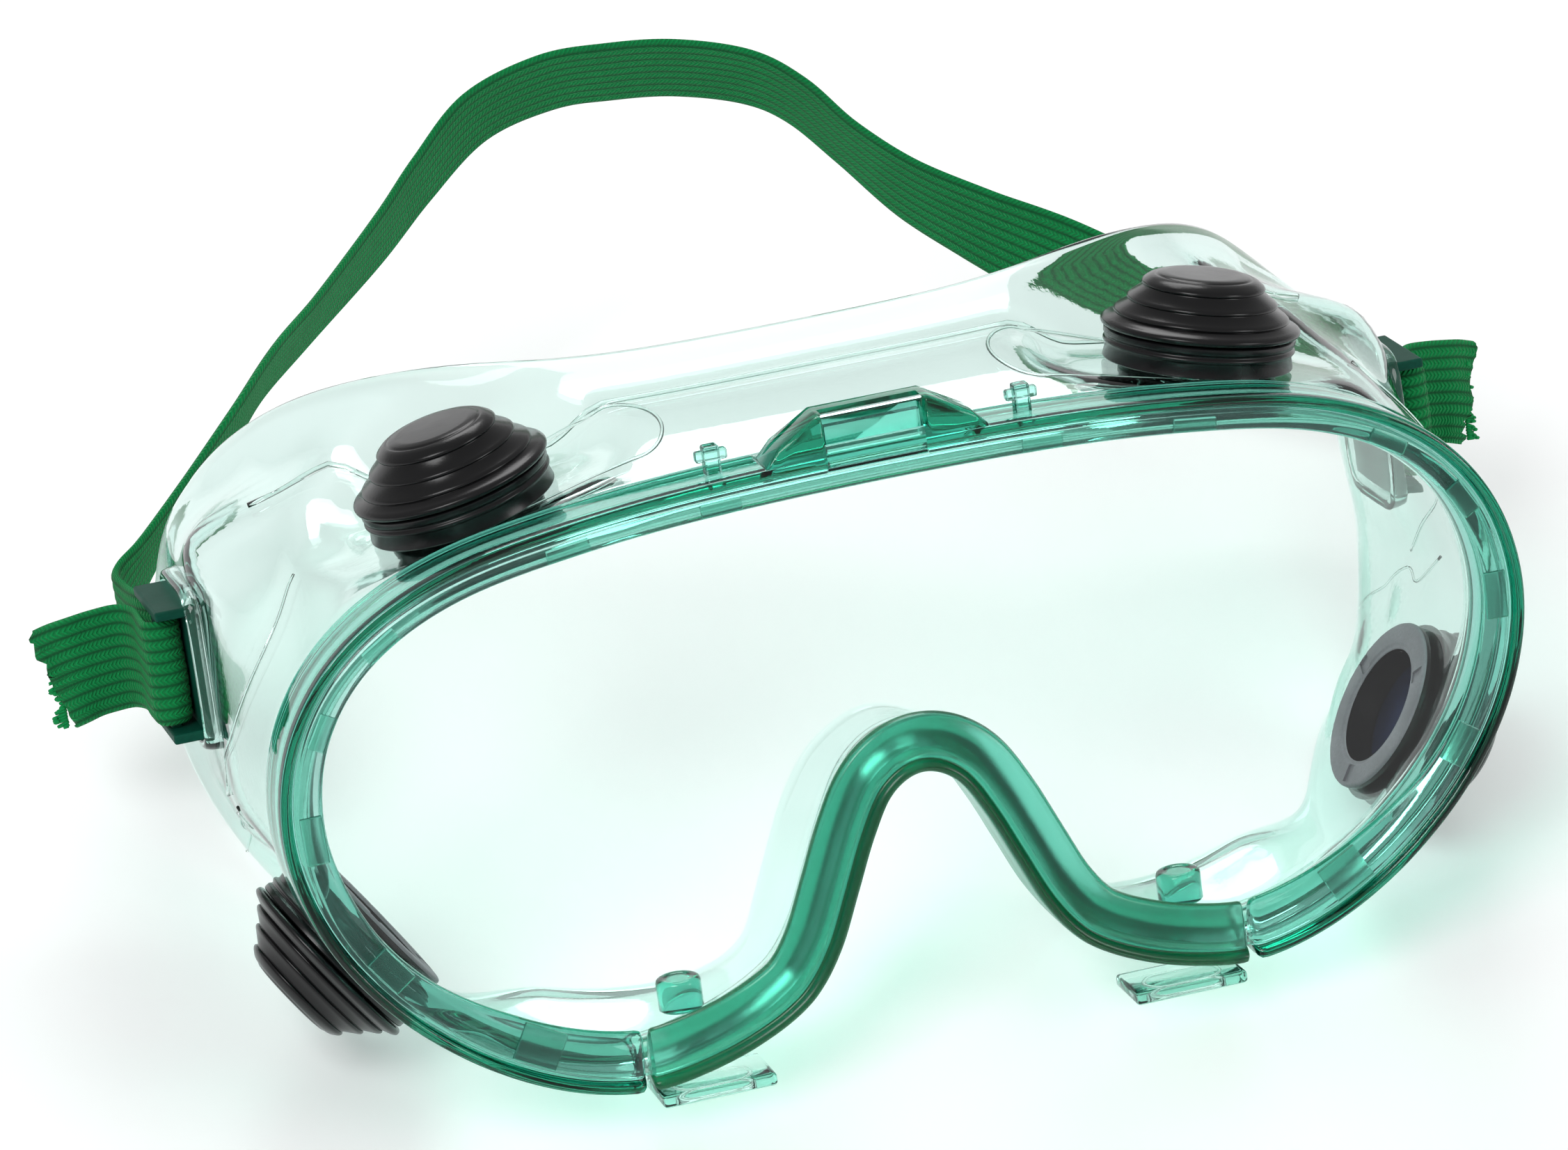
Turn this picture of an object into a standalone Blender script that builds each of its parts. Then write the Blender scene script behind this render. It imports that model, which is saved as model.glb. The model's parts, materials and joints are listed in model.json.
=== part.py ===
"""Safety goggles: chemical splash goggles with a soft clear face skirt, four capped vents,
a clamped flat lens and an elastic headband. Modelled in millimetres in the goggles' own axes
(x to the viewer's right, y from the lens to the face, z up), then leaned back onto the table."""

import math

import bmesh
import bpy
import numpy as np
from mathutils import Matrix, Vector

MM = 0.001

# ---------------------------------------------------------------- driving dimensions (mm)
OVERALL_WIDTH = 174.0      # across the lens rim
OVERALL_HEIGHT = 82.5      # rim top to rim bottom
SKIRT_DEPTH = 80.0         # rim face to the rear edge at the temples
LEAN_DEG = 27.0            # how far the goggles lie back when put down

RIM_DEPTH = 10.5
RIM_WALL = 1.4
BAND_TOP = 4.9             # visible face of the rim at the top
BAND_SIDE = 6.4            # ... at the sides
BAND_END = 8.8             # ... where it meets the nose bridge
BRIDGE_BAND = 8.2
BRIDGE_PROUD = 0.9         # how far the bridge stands in front of the rim
BRIDGE_GAP = 0.45          # play between an end of the rim and the bridge
SLEEVE = 0.3               # running gap between neighbours

LENS_THICK = 1.5
LENS_FRONT = 2.1
LENS_INSET = 2.0
LENS_TAB_HALF = 6.6
LENS_TAB_TOP = 86.0

SKIRT_WALL = 1.8
NECK_INSET = 3.9
VENT_FLAT = (19.0, 27.0)   # radius that is flat round a vent, and radius at which the skirt is free again
CLIP_FLAT = (16.0, 23.0)   # the same round a strap clip
FLAT_REACH = 16.0          # the skirt is flattened only this near to the seat
SHOULDER_INSET = 1.1       # skirt shoulder behind the rim, measured in from the outline
SHOULDER_DROP = 2.1        # how much deeper it may lie beside a vent

VENT_RADIUS = 13.75
VENT_BASE_RADIUS = 13.2
VENT_BASE_HIGH = 4.8
VENT_TOP_HIGH = 12.8
VENT_NECK_RADIUS = 9.6
VENT_BORE_RADIUS = 8.4
VENT_FLANGE_LOW_RADIUS = 12.3
VENT_FLANGE_TOP_RADIUS = 10.8   # narrower, to pass behind the rim
VENT_FLANGE_THICK = 1.2
VENT_SEAT = 0.55           # play between the skirt wall and the vent flanges
VENT_TOP_AT = (51.9, 24.4, 78.2)
VENT_TOP_OUTWARD_DEG = 12.0
VENT_LOW_AT = (74.8, 25.6, 22.9)
VENT_LOW_OUTWARD_DEG = 124.0
SEGMENTS = 24

STRAP_WIDTH = 15.0
STRAP_THICK = 1.3
HINGE_BEHIND_CLIP = 12.7   # from the middle of a clip back to the line that the headband swings on

CLIP_AT = (86.0, 56.5, 56.5)
CLIP_LONG = 16.0
CLIP_DEEP = 5.6            # how far the cheeks stand out
CLIP_PLATE = 1.4
CLIP_CHEEK = 1.4           # wall above and below the webbing
WEBBING_PLAY = 0.6         # room beside each edge of the webbing
CLIP_BAR_AT = -2.5         # centre of the bar, from the middle of the clip
CLIP_BAR_LONG = 3.2
CLIP_BAR_THICK = 1.6
CLIP_BAR_HIGH = 4.3        # centre of the bar, above the plate's underside
CLIP_TALL = STRAP_WIDTH + 2 * (WEBBING_PLAY + CLIP_CHEEK)

STUD_RADIUS = 3.1
STUD_TALL = 4.6
STUD_AT = (35.6, 8.6)
STUD_FOOT = 8.4            # underside of the studs, for a skirt wall of 1.8
TAB_SIZE = (16.0, 10.0, 1.8)
TAB_AT = (33.5, 5.2, -1.4)
POST_AT = (21.6, 5.6)      # small T posts on the rim's top
POST_TALL = 2.9
POST_FOOT = 82.1

HOOD_BASE_HALF = 15.6      # latch hood over the lens tab
HOOD_TOP_HALF = 7.6
HOOD_LOW = 81.4
HOOD_HIGH = 87.9
HOOD_FRONT = 0.4

SX = OVERALL_WIDTH / 174.0
SZ = OVERALL_HEIGHT / 82.5
SY = SKIRT_DEPTH / 80.0

# Half outlines from the top centre round to the nose arch: where the front edge of the
# goggles is (x, z) and where the rear edge of the face skirt is (x, y, z).
FRONT = [
    (0, 82.5), (25, 82.0), (44, 80.4), (59, 77.8), (70.5, 73.2), (79, 66.6), (84.6, 58),
    (87, 48), (86.2, 38), (82.2, 27.5), (75, 17.5), (65, 8.8), (54, 2.9), (43, 0.4),
    (33, 1.9), (25, 4.8), (18.6, 8.9), (14.4, 14.6), (11, 22), (7.8, 29.2), (4.4, 34.8), (0, 36.9),
]
REAR = [
    (0, 46, 90), (24, 46.5, 90.3), (43, 51, 91.2), (57, 60, 90), (68.5, 70, 85.5), (77.5, 78, 78),
    (84.3, 80, 69), (87.8, 79, 57), (88.4, 74.5, 45), (85.8, 66, 32.5), (79.5, 55, 21.5),
    (70.5, 44, 13), (58, 34.5, 8), (45.5, 30, 5.4), (34, 28, 4.8), (26, 27.5, 6.2),
    (20.6, 27.5, 9.8), (18, 27.5, 15.5), (15, 27.5, 22.6), (11.6, 27.8, 29.4), (7, 28, 34.8), (0, 28, 37.8),
]
# How far the skirt stands out from a straight line between its two edges, and where (share of the way, mm).
SKIRT_BULGE = [(0.0, 0.0), (0.045, 0.2), (0.20, 0.8), (0.34, 0.8), (0.50, 0.2), (0.66, -0.8), (0.84, -1.8)]
# Steps between one outline landmark and the next.
SPANS = [3, 3, 2, 2, 2, 2, 2, 2, 2, 2, 3, 2, 2, 2, 1, 2, 1, 2, 2, 2, 2]
BRIDGE_FROM = 13           # landmark at which the rim ends and the bridge begins

# Headband centre line and the direction of its width, from the left clip to the right one.
STRAP_PATH = [
    ((-90.6, 69.2, 56.5), (0, 0, 1)),
    ((-91.4, 76.0, 56.4), (0, -0.1, 1)),
    ((-91.0, 83.0, 58.0), (-0.1, -0.45, 0.9)),
    ((-86.5, 89.0, 62.0), (-0.06, -0.72, 0.69)),
    ((-78.0, 93.5, 69.5), (-0.1, -0.84, 0.54)),
    ((-69.2, 97.0, 77.2), (-0.02, -0.8, 0.6)),
    ((-62.2, 103.0, 82.4), (0.15, -0.7, 0.7)),
    ((-53.4, 110.0, 87.0), (0.1, -0.73, 0.68)),
    ((-40.6, 118.0, 95.0), (-0.06, -0.73, 0.68)),
    ((-32.2, 122.0, 101.6), (-0.2, -0.74, 0.63)),
    ((-22.8, 124.0, 108.6), (-0.28, -0.71, 0.65)),
    ((-12.0, 123.0, 111.9), (-0.23, -0.68, 0.7)),
    ((-3.0, 121.0, 112.2), (-0.13, -0.69, 0.71)),
    ((6.5, 119.0, 111.4), (-0.06, -0.71, 0.7)),
    ((16.2, 116.0, 108.8), (0, -0.75, 0.66)),
    ((22.4, 113.0, 104.7), (0.04, -0.82, 0.57)),
    ((28.2, 109.0, 97.9), (0.03, -0.84, 0.55)),
    ((35.2, 104.0, 90.6), (0.08, -0.73, 0.69)),
    ((43.5, 99.0, 84.6), (0.22, -0.62, 0.76)),
    ((52.6, 95.5, 78.6), (0.38, -0.45, 0.81)),
    ((64.0, 93.5, 70.5), (0.45, -0.3, 0.82)),
    ((76.0, 91.5, 64.0), (0.42, -0.2, 0.88)),
    ((86.0, 87.5, 59.5), (0.3, -0.2, 0.93)),
    ((91.0, 82.0, 57.0), (0.1, -0.15, 0.98)),
    ((91.4, 75.5, 56.2), (0, -0.05, 1)),
    ((90.6, 69.2, 56.5), (0, 0, 1)),
]

HOME = {}                  # where each object stands in the goggles' own axes, if not at their origin

COLOURS = {
    "skirt": ((0.80, 0.93, 0.88), 0.12, 0.75),
    "lens": ((0.92, 0.96, 0.98), 0.04, 0.9),
    "rim": ((0.10, 0.62, 0.42), 0.08, 0.6),
    "bridge": ((0.02, 0.42, 0.26), 0.32, 0.4),
    "vent": ((0.012, 0.012, 0.013), 0.35, 0.0),
    "clip": ((0.0, 0.10, 0.055), 0.2, 0.2),
    "strap": ((0.0, 0.28, 0.07), 0.85, 0.0),
}


# ---------------------------------------------------------------- scene and helpers
def clear_scene():
    for obj in list(bpy.data.objects):
        bpy.data.objects.remove(obj, do_unlink=True)


def make_collections():
    main = bpy.data.collections.new("Safety goggles")
    cutters = bpy.data.collections.new("Cutters")
    cutters.hide_render = True
    bpy.context.scene.collection.children.link(main)
    bpy.context.scene.collection.children.link(cutters)
    return main, cutters


def material(name, kind):
    colour, rough, clear = COLOURS[kind]
    mat = bpy.data.materials.new(name)
    mat.use_nodes = True
    shader = mat.node_tree.nodes["Principled BSDF"]
    shader.inputs["Base Color"].default_value = (*colour, 1.0)
    shader.inputs["Roughness"].default_value = rough
    shader.inputs["Transmission Weight"].default_value = clear
    mat.diffuse_color = (*colour, 1.0)
    return mat


def mesh_object(name, points, faces, collection, kind=None):
    """A mesh object from points in mm, with its faces turned outward."""
    mesh = bpy.data.meshes.new(name)
    mesh.from_pydata([tuple(float(c) * MM for c in p) for p in points], [], faces)
    work = bmesh.new()
    work.from_mesh(mesh)
    bmesh.ops.remove_doubles(work, verts=work.verts, dist=1e-6)
    bmesh.ops.recalc_face_normals(work, faces=work.faces)
    if work.calc_volume(signed=True) < 0:
        bmesh.ops.reverse_faces(work, faces=work.faces)
    work.to_mesh(mesh)
    work.free()
    obj = bpy.data.objects.new(name, mesh)
    collection.objects.link(obj)
    if kind:
        mesh.materials.append(material(name, kind))
    return obj


def spline(values, spans, closed=False):
    """Points on a smooth curve through the given rows, with spans[i] steps after row i."""
    rows = np.array(values, float)
    count = len(rows)
    out = []
    for i, steps in enumerate(spans):
        if closed:
            p0, p1, p2, p3 = (rows[(i + k) % count] for k in (-1, 0, 1, 2))
        else:
            p1, p2 = rows[i], rows[i + 1]
            p0 = rows[i - 1] if i > 0 else 2 * p1 - p2
            p3 = rows[i + 2] if i + 2 < count else 2 * p2 - p1
        for s in range(steps):
            t = s / steps
            out.append(0.5 * (2 * p1 + (p2 - p0) * t + (2 * p0 - 5 * p1 + 4 * p2 - p3) * t * t
                              + (3 * p1 - p0 - 3 * p2 + p3) * t ** 3))
    if not closed:
        out.append(rows[-1])
    return np.array(out)


def mirrored_half(rows):
    """A closed left-right symmetric loop from the half whose first and last rows lie on x = 0."""
    width = len(rows[0])
    flip = np.ones(width)
    flip[0] = -1
    rows = np.array(rows, float)
    whole = np.vstack([rows, (rows[1:-1] * flip)[::-1]])
    spans = SPANS + SPANS[::-1]
    return spline(whole, spans, closed=True)


def outward_normals(loop):
    """Unit normals, in the x-z plane, of a loop that runs clockwise seen from the front."""
    step = np.roll(loop, -1, axis=0) - np.roll(loop, 1, axis=0)
    normal = np.stack([-step[:, 1], step[:, 0]], 1)
    return normal / np.linalg.norm(normal, axis=1, keepdims=True)


def ring_faces(rows, width, closed_rows):
    faces = []
    for i in range(rows if closed_rows else rows - 1):
        j = (i + 1) % rows
        for k in range(width):
            m = (k + 1) % width
            faces.append((i * width + k, i * width + m, j * width + m, j * width + k))
    if not closed_rows:
        faces.append(tuple(range(width)))
        faces.append(tuple((rows - 1) * width + k for k in reversed(range(width))))
    return faces


def sections(name, rings, collection, kind, closed=False):
    """A body whose cross-sections are the given closed rings."""
    rings = np.array(rings, float)
    return mesh_object(name, rings.reshape(-1, 3), ring_faces(len(rings), rings.shape[1], closed), collection, kind)


def turned(name, profile, home, collection, kind):
    """A body of revolution: a profile of (radius, height), run top to bottom on its outer side, with a Screw."""
    work = bmesh.new()
    points = [work.verts.new((r * MM, 0.0, h * MM)) for r, h in profile]
    closed = profile[0][0] > 0
    for k in range(len(points) if closed else len(points) - 1):
        work.edges.new((points[k], points[(k + 1) % len(points)]))
    mesh = bpy.data.meshes.new(name)
    work.to_mesh(mesh)
    work.free()
    obj = bpy.data.objects.new(name, mesh)
    collection.objects.link(obj)
    screw = obj.modifiers.new("Turn", "SCREW")
    screw.steps = SEGMENTS
    screw.render_steps = SEGMENTS
    screw.use_merge_vertices = True
    screw.merge_threshold = 0.00001
    screw.use_smooth_shade = True
    HOME[name] = home
    if kind:
        mesh.materials.append(material(name, kind))
    else:
        obj.display_type = "WIRE"
    return obj


def block(name, centre, size, collection, kind=None, bevel=0.0):
    """A box, optionally with rounded edges."""
    work = bmesh.new()
    bmesh.ops.create_cube(work, size=1.0)
    bmesh.ops.scale(work, vec=Vector([s * MM for s in size]), verts=work.verts)
    mesh = bpy.data.meshes.new(name)
    work.to_mesh(mesh)
    work.free()
    obj = bpy.data.objects.new(name, mesh)
    collection.objects.link(obj)
    if bevel:
        round_off = obj.modifiers.new("Round", "BEVEL")
        round_off.width = bevel * MM
        round_off.segments = 2
        round_off.limit_method = "NONE"
    HOME[name] = Matrix.Translation(Vector(centre) * MM)
    if kind:
        mesh.materials.append(material(name, kind))
    else:
        obj.display_type = "WIRE"
    return obj


def boolean(obj, other, operation):
    mod = obj.modifiers.new(other.name, "BOOLEAN")
    mod.operation = operation
    mod.solver = "EXACT"
    mod.object = other


def side_name(side):
    return "left" if side < 0 else "right"


def clip_centre(side):
    """Middle of a clip's seat on the skirt wall."""
    return Vector((side * CLIP_AT[0] * SX, CLIP_AT[1] * SY, CLIP_AT[2] * SZ))


def vent_home(centre, axis):
    return Matrix.Translation(centre * MM) @ axis.to_track_quat("Z", "Y").to_matrix().to_4x4()


def vent_frames():
    """(side, place, centre, outward axis) of each of the four vents."""
    out = []
    for side in (-1, 1):
        for place, at, angle in (
                ("top", VENT_TOP_AT, VENT_TOP_OUTWARD_DEG), ("low", VENT_LOW_AT, VENT_LOW_OUTWARD_DEG)):
            a = math.radians(angle)
            centre = Vector((side * at[0] * SX, at[1], at[2] * SZ))
            out.append((side, place, centre, Vector((side * math.sin(a), 0, math.cos(a)))))
    return out


# ---------------------------------------------------------------- outlines
def scaled(rows):
    rows = np.array(rows, float)
    scale = np.array([SX, SZ]) if rows.shape[1] == 2 else np.array([SX, SY, SZ])
    return rows * scale


FRONT_LOOP = mirrored_half(scaled(FRONT))
REAR_LOOP = mirrored_half(scaled(REAR))
NORMAL = outward_normals(FRONT_LOOP)
HALF = sum(SPANS)
COUNT = len(FRONT_LOOP)
BRIDGE_AT = sum(SPANS[:BRIDGE_FROM])


def at_offset(index, inset, y):
    p = FRONT_LOOP[index % COUNT] - NORMAL[index % COUNT] * inset
    return (p[0], y, p[1])


def smooth_step(value):
    value = min(1.0, max(0.0, value))
    return value * value * (3 - 2 * value)


def half_index(index):
    index %= COUNT
    return min(index, COUNT - index)


def band_width(index):
    """Visible width of the rim face at a place on the loop."""
    h = half_index(index)
    side = smooth_step((h - 8) / 12.0)
    end = smooth_step((h - (BRIDGE_AT - 9)) / 8.0)
    return BAND_TOP + (BAND_SIDE - BAND_TOP) * side + (BAND_END - BAND_SIDE) * end


# ---------------------------------------------------------------- pieces
def skirt_section(index):
    """Outer line of the face skirt at a place on the loop, from the front bead to the rear edge."""
    f = FRONT_LOOP[index]
    n = NORMAL[index]
    b = REAR_LOOP[index]
    front = np.array([f[0] - n[0] * SHOULDER_INSET, RIM_DEPTH + 0.9, f[1] - n[1] * SHOULDER_INSET])
    h = half_index(index)
    nose = smooth_step((h - (BRIDGE_AT - 4)) / 8.0)
    out = np.array([n[0], 0.0, n[1]])
    bulge = (1 - nose)
    rows = []
    for t, push in SKIRT_BULGE:
        p = front + (b - front) * t
        rows.append(p + out * push * bulge)
    rows.append(b)
    return rows


def make_skirt(main, cutters):
    outer = np.array([skirt_section(i) for i in range(COUNT)])
    flats = [(centre, axis, *VENT_FLAT) for _, _, centre, axis in vent_frames()]
    flats += [(clip_centre(side), Vector((side, 0, 0)), *CLIP_FLAT) for side in (-1, 1)]
    for centre, axis, flat, free in flats:
        for i in range(COUNT):
            for k in range(outer.shape[1]):
                offset = outer[i, k] - np.array(centre)
                high = float(offset @ np.array(axis))
                away = float(np.linalg.norm(offset - high * np.array(axis)))
                if abs(high) < FLAT_REACH:
                    weight = 1 - smooth_step((away - flat) / (free - flat))
                    drop = high * weight
                    if k == 0:
                        drop = min(SHOULDER_DROP, max(0.0, drop))
                    outer[i, k] -= np.array(axis) * drop
    across = np.roll(outer, -1, axis=0) - np.roll(outer, 1, axis=0)
    along = np.empty_like(outer)
    along[:, 1:-1] = outer[:, 2:] - outer[:, :-2]
    along[:, 0] = outer[:, 1] - outer[:, 0]
    along[:, -1] = outer[:, -1] - outer[:, -2]
    normal = np.cross(along, across)
    normal /= np.linalg.norm(normal, axis=2, keepdims=True)
    flip = np.sign((normal[0, 3] * np.array([0, 0, 1])).sum())
    inner = outer - normal * flip * SKIRT_WALL
    rings = []
    for i in range(COUNT):
        f = FRONT_LOOP[i]
        n = NORMAL[i]
        out = np.array([n[0], 0.0, n[1]])
        lens_back = LENS_FRONT + LENS_THICK + SLEEVE
        ring = [
            at_offset(i, NECK_INSET + SKIRT_WALL, lens_back),
            at_offset(i, LENS_INSET - 0.1, lens_back),
            at_offset(i, LENS_INSET - 0.1, RIM_DEPTH - RIM_WALL - SLEEVE),
            at_offset(i, NECK_INSET, RIM_DEPTH - RIM_WALL - SLEEVE),
            at_offset(i, NECK_INSET, RIM_DEPTH + SLEEVE + 0.1),
            tuple(outer[i, 0] - np.array([0, 0.5, 0]) - out * 0.3),
        ]
        ring += [tuple(p) for p in outer[i]]
        back = outer[i, -1] - inner[i, -1]
        edge = outer[i, -1] - outer[i, -2]
        edge /= np.linalg.norm(edge)
        ring.append(tuple((outer[i, -1] + inner[i, -1]) / 2 + edge * 0.7))
        ring += [tuple(p) for p in inner[i][:0:-1]]
        ring.append(at_offset(i, NECK_INSET + SKIRT_WALL, outer[i, 0, 1] + 1.5))
        rings.append(ring)
    skirt = sections("face_skirt", rings, main, "skirt", closed=True)
    for side, place, centre, axis in vent_frames():
        reach = VENT_NECK_RADIUS + SLEEVE
        name = f"cut_vent_{place}_{side_name(side)}"
        hole = turned(name, [(0, 6), (reach, 6), (reach, -8), (0, -8)], vent_home(centre, axis), cutters, None)
        boolean(skirt, hole, "DIFFERENCE")
    return skirt


def make_lens(main):
    """A flat plate clamped behind the rim, with a square tab at the top."""
    line = [FRONT_LOOP[i] - NORMAL[i] * LENS_INSET for i in range(COUNT)]
    top, crest = line[0][1], LENS_TAB_TOP * SZ
    beside = [tuple(p) for p in line if abs(p[0]) > LENS_TAB_HALF + 1.0 or p[1] < OVERALL_HEIGHT * 0.7]
    outline = [(LENS_TAB_HALF, crest), (LENS_TAB_HALF, top), *beside, (-LENS_TAB_HALF, top), (-LENS_TAB_HALF, crest)]
    curve = bpy.data.curves.new("lens", "CURVE")
    curve.dimensions = "2D"
    curve.fill_mode = "BOTH"
    curve.extrude = LENS_THICK / 2 * MM
    poly = curve.splines.new("POLY")
    poly.points.add(len(outline) - 1)
    for point, (x, z) in zip(poly.points, outline):
        point.co = (x * MM, z * MM, 0.0, 1.0)
    poly.use_cyclic_u = True
    lens = bpy.data.objects.new("lens", curve)
    main.objects.link(lens)
    curve.materials.append(material("lens", "lens"))
    middle = Vector((0, (LENS_FRONT + LENS_THICK / 2) * MM, 0))
    HOME["lens"] = Matrix.Translation(middle) @ Matrix.Rotation(math.radians(90), 4, "X")
    return lens


def channel(index, width, proud, depth):
    """Cross-section of the clamping channel: a faced front lip, an outer wall with a bead and a rear lip."""
    w = RIM_WALL
    lens_gap = LENS_FRONT - SLEEVE
    rows = [
        (width, lens_gap), (width, lens_gap - 1.1),
        (width - 0.5, lens_gap - 1.5 - proud * 0.6), (2.6, lens_gap - 1.5 - proud),
        (2.2, 0.9 - proud), (1.7, 0.9 - proud), (1.3, -proud), (0.4, -proud), (0.0, 0.5 - proud * 0.6),
        (0.0, depth - 0.5), (0.5, depth), (NECK_INSET - SLEEVE, depth), (NECK_INSET - SLEEVE, depth - w),
        (w, depth - w), (w, lens_gap),
    ]
    return [at_offset(index, inset, y) for inset, y in rows]


def make_rim(main, cutters):
    """The C-shaped rim that clamps the lens and the skirt bead from one nose end over to the other."""
    order = [COUNT - BRIDGE_AT + k for k in range(2 * BRIDGE_AT + 1)]
    rim = sections("lens_rim", [channel(i, band_width(i), 0.0, RIM_DEPTH) for i in order], main, "rim")
    boolean(rim, make_hood(cutters), "UNION")
    tab_width = 2 * (LENS_TAB_HALF + SLEEVE)
    slot_deep = LENS_THICK + 2 * SLEEVE
    slot = block("cut_lens_tab", (0, LENS_FRONT + LENS_THICK / 2, 84.5 * SZ), (tab_width, slot_deep, 9.0), cutters)
    boolean(rim, slot, "DIFFERENCE")
    window = block("cut_hood_window", (0, -0.7, 85.6 * SZ), (tab_width + 0.6, 6.2, 3.9), cutters)
    boolean(rim, window, "DIFFERENCE")
    for side in (-1, 1):
        x, y = side * POST_AT[0] * SX, POST_AT[1]
        middle = (x, y, (POST_FOOT + POST_TALL / 2 - 0.6) * SZ)
        post = block(f"rim_post_{side}", middle, (1.6, 1.9, POST_TALL + 1.2), cutters)
        bar = block(f"rim_post_bar_{side}", (x, y, (POST_FOOT + POST_TALL) * SZ), (6.4, 1.5, 1.4), cutters)
        boolean(rim, post, "UNION")
        boolean(rim, bar, "UNION")
    return rim


def make_hood(cutters):
    """The trapezoid latch hood over the lens tab at the top centre."""
    base, top = HOOD_BASE_HALF * SX, HOOD_TOP_HALF * SX
    low, high = HOOD_LOW * SZ, HOOD_HIGH * SZ
    front, back = HOOD_FRONT, RIM_DEPTH - 1.6
    rings = []
    for x, lift in ((-base, 0.0), (-base * 0.86, 0.42), (-top, 1.0), (top, 1.0), (base * 0.86, 0.42), (base, 0.0)):
        crest = low + 1.0 + (high - low - 1.0) * lift
        rings.append([
            (x, front, low), (x, front, crest - 0.5), (x, front + 0.6, crest), (x, 6.2, crest + 0.25 * lift),
            (x, back, low + 1.0 + 0.2 * lift), (x, back, low),
        ])
    hood = sections("rim_hood", rings, cutters, None)
    hood.display_type = "WIRE"
    return hood


def make_bridge(main):
    """The nose bridge that closes the rim and clamps the lower edge of the lens."""
    order = list(range(BRIDGE_AT, COUNT - BRIDGE_AT + 1))
    rings = []
    for j, i in enumerate(order):
        ends = min(j, len(order) - 1 - j)
        width = BRIDGE_BAND + (BAND_END - BRIDGE_BAND) * (1 - smooth_step(ends / 6.0))
        proud = BRIDGE_PROUD * smooth_step(ends / 4.0)
        ring = channel(i, width, proud, RIM_DEPTH)
        if ends == 0:
            shift = -BRIDGE_GAP if j == 0 else BRIDGE_GAP
            ring = [(x + shift, y, z) for x, y, z in ring]
        rings.append(ring)
    return sections("nose_bridge", rings, main, "bridge")


CAP_STUB_RADIUS = 8.1      # the cap's stub, which fits the bore of the base
CAP_SKIRT_LOW = 5.1        # underside of the cap's skirt, just above the base
CAP_PROFILE = [            # (radius, height) for a vent radius of 13.75 and a height of 12.8
    (0, 12.8), (5.4, 12.8), (7.3, 12.4), (8.5, 11.5), (8.5, 10.9), (8.2, 10.7),
    (10.2, 9.3), (10.4, 8.9), (10.1, 8.6),
    (11.9, 7.5), (12.1, 7.1), (11.8, 6.8),
    (13.3, 6.2), (13.75, 5.8), (13.6, 5.1), (8.1, 5.1), (8.1, 0.9), (0, 0.9),
]


def make_vents(main):
    grow = VENT_RADIUS / 13.75
    for side, place, centre, axis in vent_frames():
        tag = f"{place}_{side_name(side)}"
        taller = (VENT_TOP_HIGH - CAP_SKIRT_LOW) / (CAP_PROFILE[0][1] - CAP_SKIRT_LOW)
        profile = []
        for radius, height in CAP_PROFILE:
            if radius > CAP_STUB_RADIUS:
                radius *= grow
            if height > CAP_SKIRT_LOW:
                height = CAP_SKIRT_LOW + (height - CAP_SKIRT_LOW) * taller
            profile.append((radius, height))
        turned(f"vent_cap_{tag}", profile, vent_home(centre, axis), main, "vent")
        flange = VENT_FLANGE_TOP_RADIUS if place == "top" else VENT_FLANGE_LOW_RADIUS
        under = -SKIRT_WALL - VENT_SEAT
        turned(f"vent_base_{tag}", [
            (VENT_BORE_RADIUS, VENT_BASE_HIGH), (VENT_BASE_RADIUS, VENT_BASE_HIGH), (VENT_BASE_RADIUS, 3.0),
            (VENT_BASE_RADIUS - 0.5, 2.6), (VENT_BASE_RADIUS - 0.1, VENT_SEAT), (VENT_NECK_RADIUS, VENT_SEAT),
            (VENT_NECK_RADIUS, under),
            (flange, under), (flange - 0.2, under - VENT_FLANGE_THICK), (VENT_BORE_RADIUS, under - VENT_FLANGE_THICK),
        ], vent_home(centre, axis), main, "vent")


def make_clips(main, cutters):
    """A plate with two cheeks on each side wall, and a bar between the cheeks that the webbing turns round."""
    for side in (-1, 1):
        tag = side_name(side)
        x, y, z = clip_centre(1)
        foot = x + SLEEVE
        body = (CLIP_DEEP, CLIP_LONG, CLIP_TALL)
        clip = block(f"strap_clip_{tag}", (side * (foot + CLIP_DEEP / 2), y, z), body, main, "clip", bevel=0.5)
        free = (10.0, CLIP_LONG + 2.0, STRAP_WIDTH + 2 * WEBBING_PLAY)
        room = block(f"cut_clip_{tag}", (side * (foot + CLIP_PLATE + free[0] / 2), y, z), free, cutters)
        boolean(clip, room, "DIFFERENCE")
        across = (CLIP_BAR_THICK, CLIP_BAR_LONG, CLIP_TALL - CLIP_CHEEK)
        bar = block(f"clip_bar_{tag}", (side * (foot + CLIP_BAR_HIGH), y + CLIP_BAR_AT, z), across, cutters)
        boolean(clip, bar, "UNION")


def band_ring(centre, wide, thick_dir, width=STRAP_WIDTH, thick=STRAP_THICK):
    """Cross-section of the webbing, with rounded edges."""
    a, b = width / 2, thick / 2
    rows = [(-a, 0), (-a + 0.6, -b), (a - 0.6, -b), (a, 0), (a - 0.6, b), (-a + 0.6, b)]
    return [centre + wide * u + thick_dir * v for u, v in rows]


def band(name, path, main, steps):
    centres = spline([p for p, _ in path], [steps] * (len(path) - 1))
    widths = spline([w for _, w in path], [steps] * (len(path) - 1))
    tangent = np.gradient(centres, axis=0)
    tangent /= np.linalg.norm(tangent, axis=1, keepdims=True)
    rings = []
    for c, w, t in zip(centres, widths, tangent):
        w = w - t * float(w @ t)
        w /= np.linalg.norm(w)
        rings.append(band_ring(c, w, np.cross(t, w)))
    sections(name, rings, main, "strap")


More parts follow.
